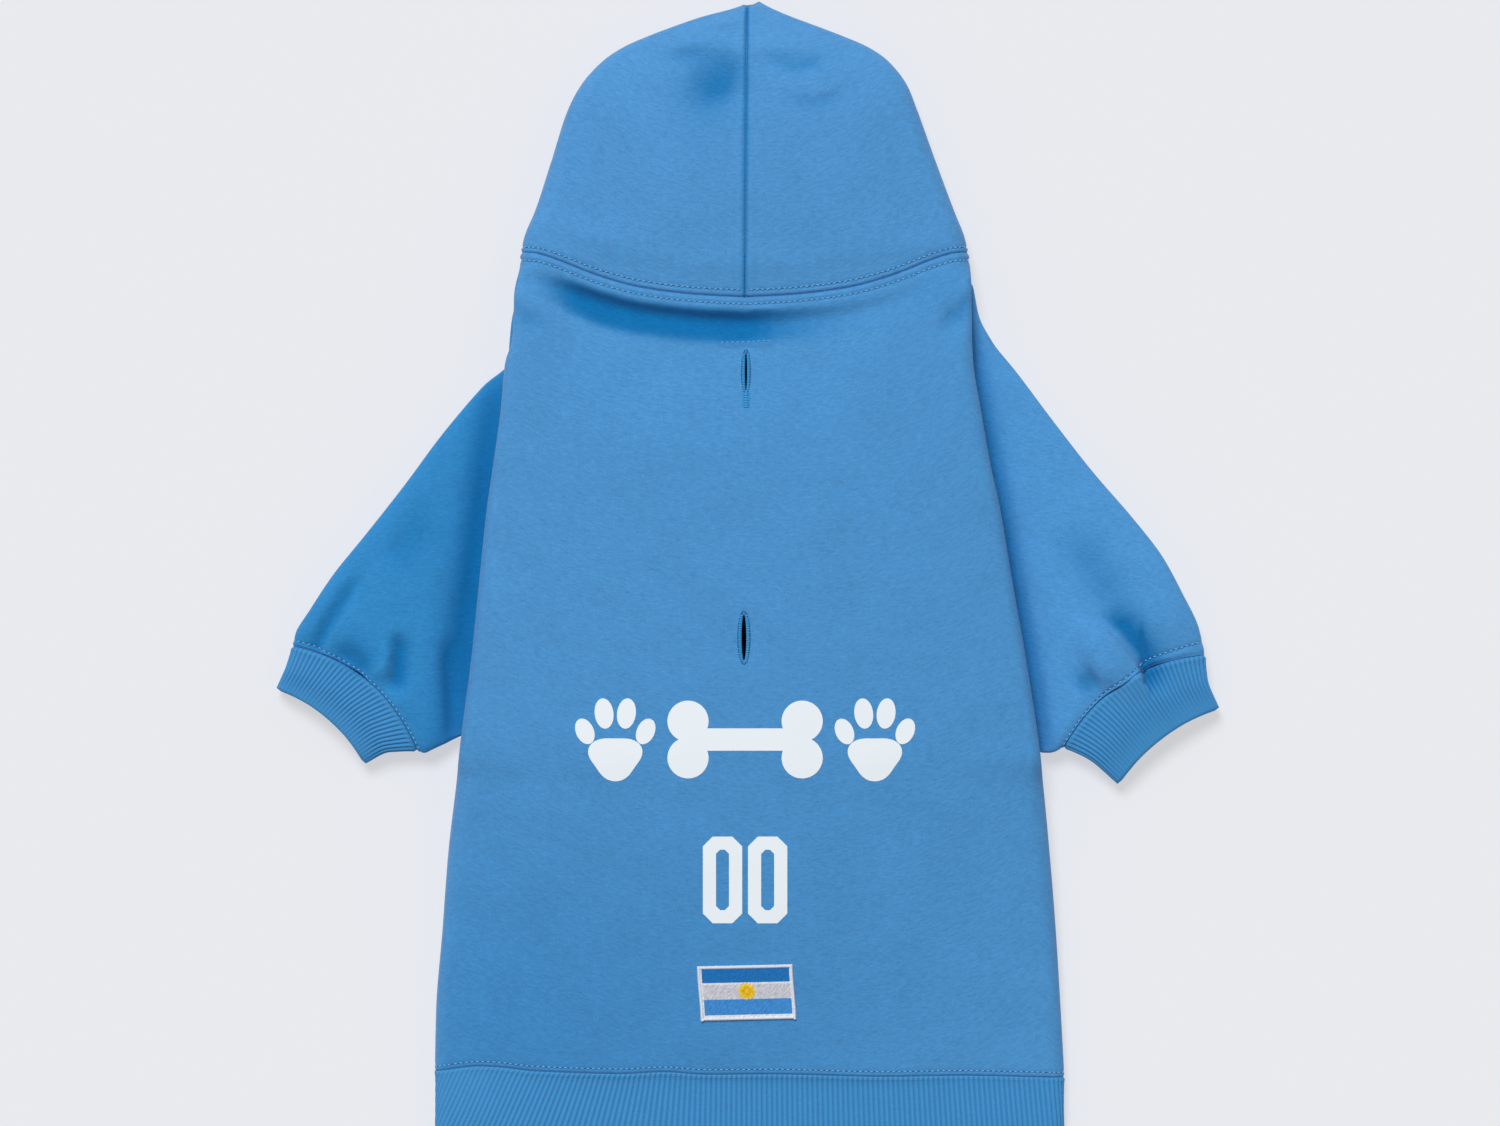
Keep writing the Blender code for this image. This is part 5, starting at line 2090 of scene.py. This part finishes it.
@dataclass(frozen=True)
class Fleece:
    """Sweatshirt fleece: a smooth jersey face with a faint heather and a soft bloom.

    Args:
        dye: the colour.
        deep: the colour of the painted shade in folds, darker and bluer as between facing cloth.
        heather: how far the short strokes of the knit stray in tone.
        cloud: how far the tone strays over broad patches.
        blotch: how far it strays over patches of a few millimetres.
    """

    dye: Colour = (0.076, 0.302, 0.638)
    deep: Colour = (0.002, 0.172, 0.455)
    heather: float = 0.52
    cloud: float = 0.16
    blotch: float = 0.22

    def material(self, name: str) -> Finish:
        """The finish as a material."""
        bench = Bench(name)
        metres = bench.metres()
        strokes = bench.noise(metres, (3.2 * MM, 1.1 * MM, 1.0), 3.0, 0.6)
        specks = bench.noise(metres, (0.9 * MM, 0.6 * MM, 1.0), 1.0)
        broad = bench.noise(metres, (26 * MM, 18 * MM, 1.0), 2.0)
        patches = bench.noise(metres, (6.5 * MM, 3.6 * MM, 1.0), 3.0, 0.65)
        tone = 1 + strokes * self.heather + specks * (self.heather * 0.6) + broad * self.cloud
        tone = tone + patches * self.blotch
        across, along = bench.split(metres)
        wales = (across * (2 * math.pi / (0.95 * MM))).sine()
        courses = (along * (2 * math.pi / (0.70 * MM)) + wales * 1.2).sine()
        fuzz = bench.noise(metres, (0.55 * MM, 0.55 * MM, 1.0), 3.0, 0.65)
        height = wales * 0.05 + courses * 0.04 + fuzz * 0.9 + strokes * 0.7
        return bench.surface(
            {
                "Base Color": bench.shaded_in_folds(self.dye, self.deep, tone),
                "Roughness": 0.92,
                "Normal": bench.bump(height, 0.22 * MM),
                "Sheen Weight": 0.16,
                "Sheen Roughness": 0.45,
                "Specular IOR Level": 0.18,
            }
        )


@dataclass(frozen=True)
class RibKnit:
    """Rib knit: the ribs are in the mesh, and each carries its fine column of stitches."""

    dye: Colour = (0.064, 0.302, 0.628)
    # deep: the colour of the painted shade in the grooves between ribs and in folds
    deep: Colour = (0.005, 0.172, 0.455)
    stray: float = 0.30

    def material(self, name: str) -> Finish:
        """The finish as a material."""
        bench = Bench(name)
        metres = bench.metres()
        grain = bench.noise(metres, (0.8 * MM, 1.6 * MM, 1.0), 3.0, 0.6)
        broad = bench.noise(metres, (14 * MM, 10 * MM, 1.0), 2.0)
        tone = 1 + grain * self.stray + broad * 0.08
        _, along = bench.split(metres)
        courses = (along * (2 * math.pi / (0.85 * MM))).sine()
        return bench.surface(
            {
                "Base Color": bench.shaded_in_folds(self.dye, self.deep, tone),
                "Roughness": 0.88,
                "Normal": bench.bump(courses * 0.35 + grain * 0.8, 0.09 * MM),
                "Sheen Weight": 0.14,
                "Sheen Roughness": 0.45,
                "Specular IOR Level": 0.2,
            }
        )


@dataclass(frozen=True)
class SewingThread:
    """Polyester thread with a slight gloss."""

    dye: Colour = (0.060, 0.290, 0.600)
    rough: float = 0.55

    def material(self, name: str) -> Finish:
        """The finish as a material."""
        bench = Bench(name)
        place = bench.place()
        grain = bench.noise(place, (0.5 * MM, 0.5 * MM, 0.5 * MM), 2.0)
        return bench.surface(
            {
                "Base Color": bench.scaled(self.dye, 1 + grain * 0.35),
                "Roughness": self.rough,
                "Normal": bench.bump(grain, 0.05 * MM),
                "Sheen Weight": 0.1,
            }
        )


@dataclass(frozen=True)
class PrintFilm:
    """Heat-pressed print film, which takes a trace of the knit below."""

    tint: Colour = (0.885, 0.950, 1.000)

    def material(self, name: str) -> Finish:
        """The finish as a material."""
        bench = Bench(name)
        place = bench.place()
        grain = bench.noise(place, (1.2 * MM, 0.8 * MM, 1.0), 3.0, 0.6)
        broad = bench.noise(place, (18 * MM, 18 * MM, 1.0), 2.0)
        return bench.surface(
            {
                "Base Color": bench.scaled(self.tint, 1 + grain * 0.03 + broad * 0.02),
                "Roughness": 0.62,
                "Normal": bench.bump(grain, 0.05 * MM),
                "Specular IOR Level": 0.25,
            }
        )


@dataclass(frozen=True)
class Embroidery:
    """The patch's threads: white border, blue, pale and lighter blue stripes and a yellow sun."""

    patch: FlagPatch
    white: Colour = (0.84, 0.87, 0.93)
    upper: Colour = (0.004, 0.180, 0.540)
    middle: Colour = (0.660, 0.670, 0.740)
    lower: Colour = (0.050, 0.290, 0.740)
    sun: Colour = (0.960, 0.620, 0.012)
    ring: Colour = (0.800, 0.380, 0.010)
    rays: int = 16

    def material(self, name: str) -> Finish:
        """The finish as a material, its fields worked out from the patch's own metres."""
        bench = Bench(name)
        x, v = bench.split(bench.metres())
        y = self.patch.height / 2 - v
        soft = 0.12 * MM
        high = self.patch.height / 2 - self.patch.border
        band = 2 * high / 3
        tilt = (x - y) * (2 * math.pi / (0.8 * MM))
        slanted = bench.wire("ShaderNodeCombineXYZ", inputs={0: x + y, 1: x - y})
        lay = bench.noise(slanted, (3.4 * MM, 1.0 * MM, 1.0), 3.0, 0.7)
        edge = lay * 0.35 * MM
        top_line = (y + edge).over(band / 2 - soft, band / 2 + soft)
        low_line = (y + edge).over(-band / 2 - soft, -band / 2 + soft)
        stripes = bench.blend(low_line, self.lower, self.middle)
        stripes = bench.blend(top_line, stripes, self.upper)
        rule = 1 - abs(y - band / 2).over(0.35 * MM, 0.6 * MM)
        stripes = bench.blend(rule, stripes, self.white)
        rays = (bench.maths("ARCTAN2", y, x) * self.rays).sine() * 0.45 * MM
        middle = (x * x + y * y).root()
        from_sun = middle + edge + rays
        stripes = bench.blend(1 - from_sun.over(3.5 * MM, 4.0 * MM), stripes, self.sun)
        swirl = (1 - abs(middle + edge * 2 - 1.5 * MM).over(0.25 * MM, 0.7 * MM)) * 0.55
        stripes = bench.blend(swirl, stripes, self.ring)
        wide = self.patch.width / 2 - self.patch.border
        side = abs(x).over(wide - soft, wide + soft)
        rim = abs(y).over(high - soft, high + soft)
        framed = bench.blend(bench.maths("MAXIMUM", side, rim), stripes, self.white)
        tone = 1 + lay * 1.6 + tilt.sine() * 0.06
        height = tilt.sine() * 0.5 + lay * 1.2
        return bench.surface(
            {
                "Base Color": bench.scaled(framed, tone),
                "Roughness": 0.5,
                "Normal": bench.bump(height, 0.12 * MM),
                "Specular IOR Level": 0.3,
            }
        )


@dataclass(frozen=True)
class Paper:
    """The plain pale ground."""

    tint: Colour = (0.280, 0.300, 0.335)
    glow: Colour = (0.549, 0.546, 0.547)

    def material(self, name: str) -> Finish:
        """The finish as a material, lit a little from below as on a light table."""
        bench = Bench(name)
        grain = bench.noise(bench.place(), (0.02, 0.02, 1.0), 2.0)
        return bench.surface(
            {
                "Base Color": bench.scaled(self.tint, 1 + grain * 0.004),
                "Roughness": 0.95,
                "Specular IOR Level": 0.0,
                "Emission Color": (*self.glow, 1.0),
                "Emission Strength": 1.0,
            }
        )


@dataclass
class Studio:
    """The floor, the light and the camera.

    Args:
        reach: the camera's height.
        frame_width: the width of the floor that the picture spans at the cloth's height.
        aim: the plan point in the middle of the picture.
        cloth_height: the height that frame_width is measured at.
        sun: the way to the main light.
        sun_power: its strength.
        softness: its width in degrees.
        fill: the strength of the light from all round.
    """

    reach: float = 3.0
    frame_width: float = 0.675
    aim: tuple[float, float] = (0.0002, 0.00585)
    cloth_height: float = 0.012
    sensor: float = 36.0
    floor_half: float = 3.0
    floor_drop: float = 0.3 * MM
    sun: tuple[float, float, float] = (-0.18, 0.52, 0.86)
    sun_power: float = 2.32
    softness: float = 24.0
    fill: float = 0.30

    def floor(self) -> Piece:
        """A flat square."""
        line = np.linspace(-self.floor_half, self.floor_half, 9)
        y, x = np.meshgrid(line, line, indexing="ij")
        points = joined(x, y, np.full_like(x, -self.floor_drop)).reshape(-1, 3)
        r, c = (grid.ravel() for grid in np.mgrid[0:8, 0:8])
        faces = np.stack([r * 9 + c, r * 9 + c + 1, (r + 1) * 9 + c + 1, (r + 1) * 9 + c], axis=1)
        piece = object_of("floor", points, [faces])
        piece.data.materials.append(Paper().material("paper"))
        return piece

    def lights(self) -> None:
        """A broad main light from the upper left and an even fill."""
        lamp = bpy.data.lights.new("main_light", "SUN")
        lamp.energy = self.sun_power
        lamp.angle = math.radians(self.softness)
        holder = bpy.data.objects.new("main_light", lamp)
        bpy.context.scene.collection.objects.link(holder)
        way = np.array(self.sun) / np.linalg.norm(self.sun)
        holder.rotation_euler = (
            math.atan2(math.hypot(way[0], way[1]), way[2]), 0.0, math.atan2(way[0], -way[1])
        )
        world = bpy.data.worlds.new("fill")
        world.use_nodes = True
        ground = world.node_tree.nodes["Background"]
        ground.inputs["Color"].default_value = (1.0, 1.0, 1.0, 1.0)
        ground.inputs["Strength"].default_value = self.fill
        bpy.context.scene.world = world

    def camera(self) -> None:
        """A long lens straight above the hoodie."""
        data = bpy.data.cameras.new("camera")
        data.sensor_width = self.sensor
        data.lens = self.sensor * (self.reach - self.cloth_height) / self.frame_width
        holder = bpy.data.objects.new("camera", data)
        holder.location = (*self.aim, self.reach)
        bpy.context.scene.collection.objects.link(holder)
        bpy.context.scene.camera = holder

    def build(self) -> None:
        """Everything round the hoodie."""
        self.floor()
        self.lights()
        self.camera()
        bpy.context.scene.view_settings.view_transform = "Standard"


@dataclass(frozen=True)
class FlatCut:
    """The size of the rectangle that a panel is cut from, and its flat area.

    Args:
        width: the rectangle's width; not used.
        length: the rectangle's length; not used.
        area: the panel's flat area; not used.
        rests_on: the nodes that it lies on; not used.
    """

    width: float
    length: float
    area: float
    rests_on: tuple[str, ...]


FLAT_CUTS = {
    "back_panel": FlatCut(0.335, 0.372, 0.1072, ("belly_panel", "sleeve_left", "sleeve_right")),
    "belly_panel": FlatCut(0.243, 0.371, 0.0749, ()),
    "hood_left": FlatCut(0.130, 0.145, 0.0148, ()),
    "hood_right": FlatCut(0.130, 0.145, 0.0146, ()),
    "sleeve_left": FlatCut(0.420, 0.124, 0.0222, ()),
    "sleeve_right": FlatCut(0.420, 0.124, 0.0240, ()),
    "cuff_left": FlatCut(0.140, 0.024, 0.0030, ()),
    "cuff_right": FlatCut(0.150, 0.028, 0.0038, ()),
    "hem_band": FlatCut(0.567, 0.037, 0.0201, ()),
}


@dataclass
class Hoodie:
    """The whole garment: builds each panel and its trims, dresses them and reports them."""

    cut: Pattern = field(default_factory=Pattern)
    made: int = 0

    def __post_init__(self) -> None:
        """Spins the two threads."""
        # The dark thread paints shade: it lies in the seams' grooves, under the rows of stitches and
        # round the slits
        self.dark = SewingThread((0.002, 0.105, 0.315)).material("painted_shade_thread")
        self.pale = SewingThread((0.150, 0.440, 0.740)).material("cover_thread")

    def dress(self, piece: Piece, finish: Finish, replaces: Optional[str] = None) -> None:
        """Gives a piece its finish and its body.

        Args:
            piece: the piece.
            finish: its material.
            replaces: the node that it stands for.
        """
        piece.data.materials.clear()
        piece.data.materials.append(finish)
        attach(piece, BODY)
        if replaces:
            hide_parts(replaces)
        replaces in FLAT_CUTS
        self.made += 1
        LOG.info("%s: %d faces", piece.name, len(piece.data.polygons))

    def body(self) -> BackPanel:
        """The back with its slits and the belly."""
        panel = BackPanel(self.cut)
        piece = panel.build()
        purl = SewingThread((0.035, 0.390, 0.770)).material("buttonhole_thread")
        for slit in (UPPER_SLIT, LOWER_SLIT):
            slit.cut_through(piece, panel)
            self.dress(slit.purls(panel), purl)
            self.dress(slit.ring(panel), self.dark)
        self.dress(piece, Fleece().material("fleece"), panel.node)
        belly = BellyPanel(self.cut)
        self.dress(belly.build(), Fleece().material("belly_fleece"), belly.node)
        return panel

    def cover_stitch(
        self, cloth: Cloth, name: str, u: tuple[float, float], v: float, zigzag: float = 0.0
    ) -> None:
        """A row of cover stitches: short light threads over a dark thread in the cloth, which paints the
        shade of the needle holes.

        Args:
            cloth: the panel that it is sewn through.
            name: the pieces' common name.
            u: the two ends of the row.
            v: where it runs.
            zigzag: how far the light threads swing, in the panel's v.
        """
        pitch = self.cut.stitch_pitch
        # The under thread is painted shade along the row of needle holes
        under = Stitch(0.34 * MM, 0.0, 0.0, gap=-0.1, every=0.5)
        over = Stitch(0.36 * MM, 0.30 * MM, 0.10 * MM, gap=0.42, sway=zigzag, every=0.8)
        self.dress(cloth.stitch_row(f"{name}_under", u, v, pitch, under), self.dark)
        self.dress(cloth.stitch_row(f"{name}_over", u, v, pitch, over), self.pale)

    def seam_line(self, name: str, points: Array, up: Array, radius: float = 0.36 * MM) -> None:
        """A dark thread at the bottom of a seam, which paints the seam's shade, in lengths that overlap
        by half.
        """
        piece = threads(name, points[:-2], points[2:], up[1:-1], radius, 0.0)
        self.dress(piece, self.dark)

    def edge_line(self, cloth: Cloth, name: str, u: tuple[float, float], v: float) -> None:
        """A seam line of painted shade along a panel's edge."""
        line = cloth.even(u, v, 2.0 * MM)
        at = np.full_like(line, v)
        self.seam_line(name, cloth.outer(line, at, -0.12 * MM), cloth.normal(line, at))

    def hood(self) -> None:
        """Both halves of the hood, the row of stitches above the neck seam and a painted shade line along
        the centre seam.
        """
        # Painted light: the hood's fleece is a little lighter than the back's, as the top of the garment
        # lies brighter
        finish = Fleece(dye=(0.083, 0.312, 0.658)).material("hood_fleece")
        for side in Side:
            half = HoodHalf(self.cut, side)
            self.dress(half.build(), finish, half.node)
            row = half.seam.row_at / half.run
            self.cover_stitch(half, f"hood_{side.word}_stitches", (0.02, 1.35), row, 0.0025)
        # A dark thread along the centre seam paints the seam's shade
        line = np.linspace(0.004, 0.975, 110)
        points = half.outer(0 * line, line, 0.06 * MM)
        self.seam_line("hood_seam", points, half.normal(0 * line, line), 0.46 * MM)

    def sleeves(self) -> None:
        """Both sleeves with their cuffs, cover stitches and a painted shade line along each cuff seam."""
        # Painted shade and light: the left sleeve's fleece is darker and the right one's lighter than the
        # back's, for how the light falls on each
        painted_light_colours = {Side.LEFT: (0.033, 0.264, 0.604), Side.RIGHT: (0.079, 0.320, 0.680)}
        rib_finish = RibKnit().material("cuff_rib_knit")
        for side in Side:
            sleeve = Sleeve(self.cut, side)
            finish = Fleece(dye=painted_light_colours[side]).material(f"sleeve_{side.word}_fleece")
            self.dress(sleeve.build(), finish, sleeve.node)
            row = 1 - sleeve.seam.row_at / sleeve.run
            ends = (0.25, np.pi - 0.25)
            self.cover_stitch(sleeve, f"sleeve_{side.word}_stitches", ends, row, 0.002)
            self.edge_line(sleeve, f"cuff_{side.word}_seam", ends, 1.0)
            cuff = Cuff(self.cut, side)
            self.dress(cuff.build(), rib_finish, cuff.node)

    def hem(self, panel: BackPanel) -> None:
        """The rib band, the stitches along the back's two seams and the painted shade lines in them."""
        band = HemBand(self.cut)
        self.dress(band.build(), RibKnit().material("hem_rib_knit"), band.node)
        neck = panel.neck_seam.row_at / self.cut.back_length
        hem = 1 - panel.hem_seam.row_at / self.cut.back_length
        self.edge_line(panel, "neck_seam", (-1.5, 1.5), 0.0)
        self.edge_line(panel, "hem_seam", (-1.5, 1.5), 1.0)
        self.cover_stitch(panel, "neck_stitches", (-1.4, 1.4), neck)
        self.cover_stitch(panel, "hem_stitches", (-1.4, 1.4), hem)

    def back_marks(self, panel: BackPanel) -> None:
        """The label's stitches, the print and the patch."""
        self.dress(LABEL.stitches(panel), self.pale)
        film = PrintFilm().material("print_film")
        for piece in BackPrint(panel).build():
            self.dress(piece, film)
        patch = FlagPatch(panel)
        self.dress(patch.build(), Embroidery(patch).material("patch_threads"), "flag_patch")
        border = SewingThread((0.82, 0.85, 0.92)).material("patch_border_thread")
        self.dress(patch.edge_stitches(), border)

    def build(self) -> None:
        """Every piece in order."""
        panel = self.body()
        self.hood()
        self.sleeves()
        self.hem(panel)
        self.back_marks(panel)
        LOG.info("%d pieces", self.made)


def main() -> None:
    """Loads the frame, builds the hoodie over it and sets the stage."""
    logging.basicConfig(level=logging.INFO, format="%(name)s: %(message)s")
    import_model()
    Hoodie().build()
    Studio().build()


if __name__ == "__main__":
    main()
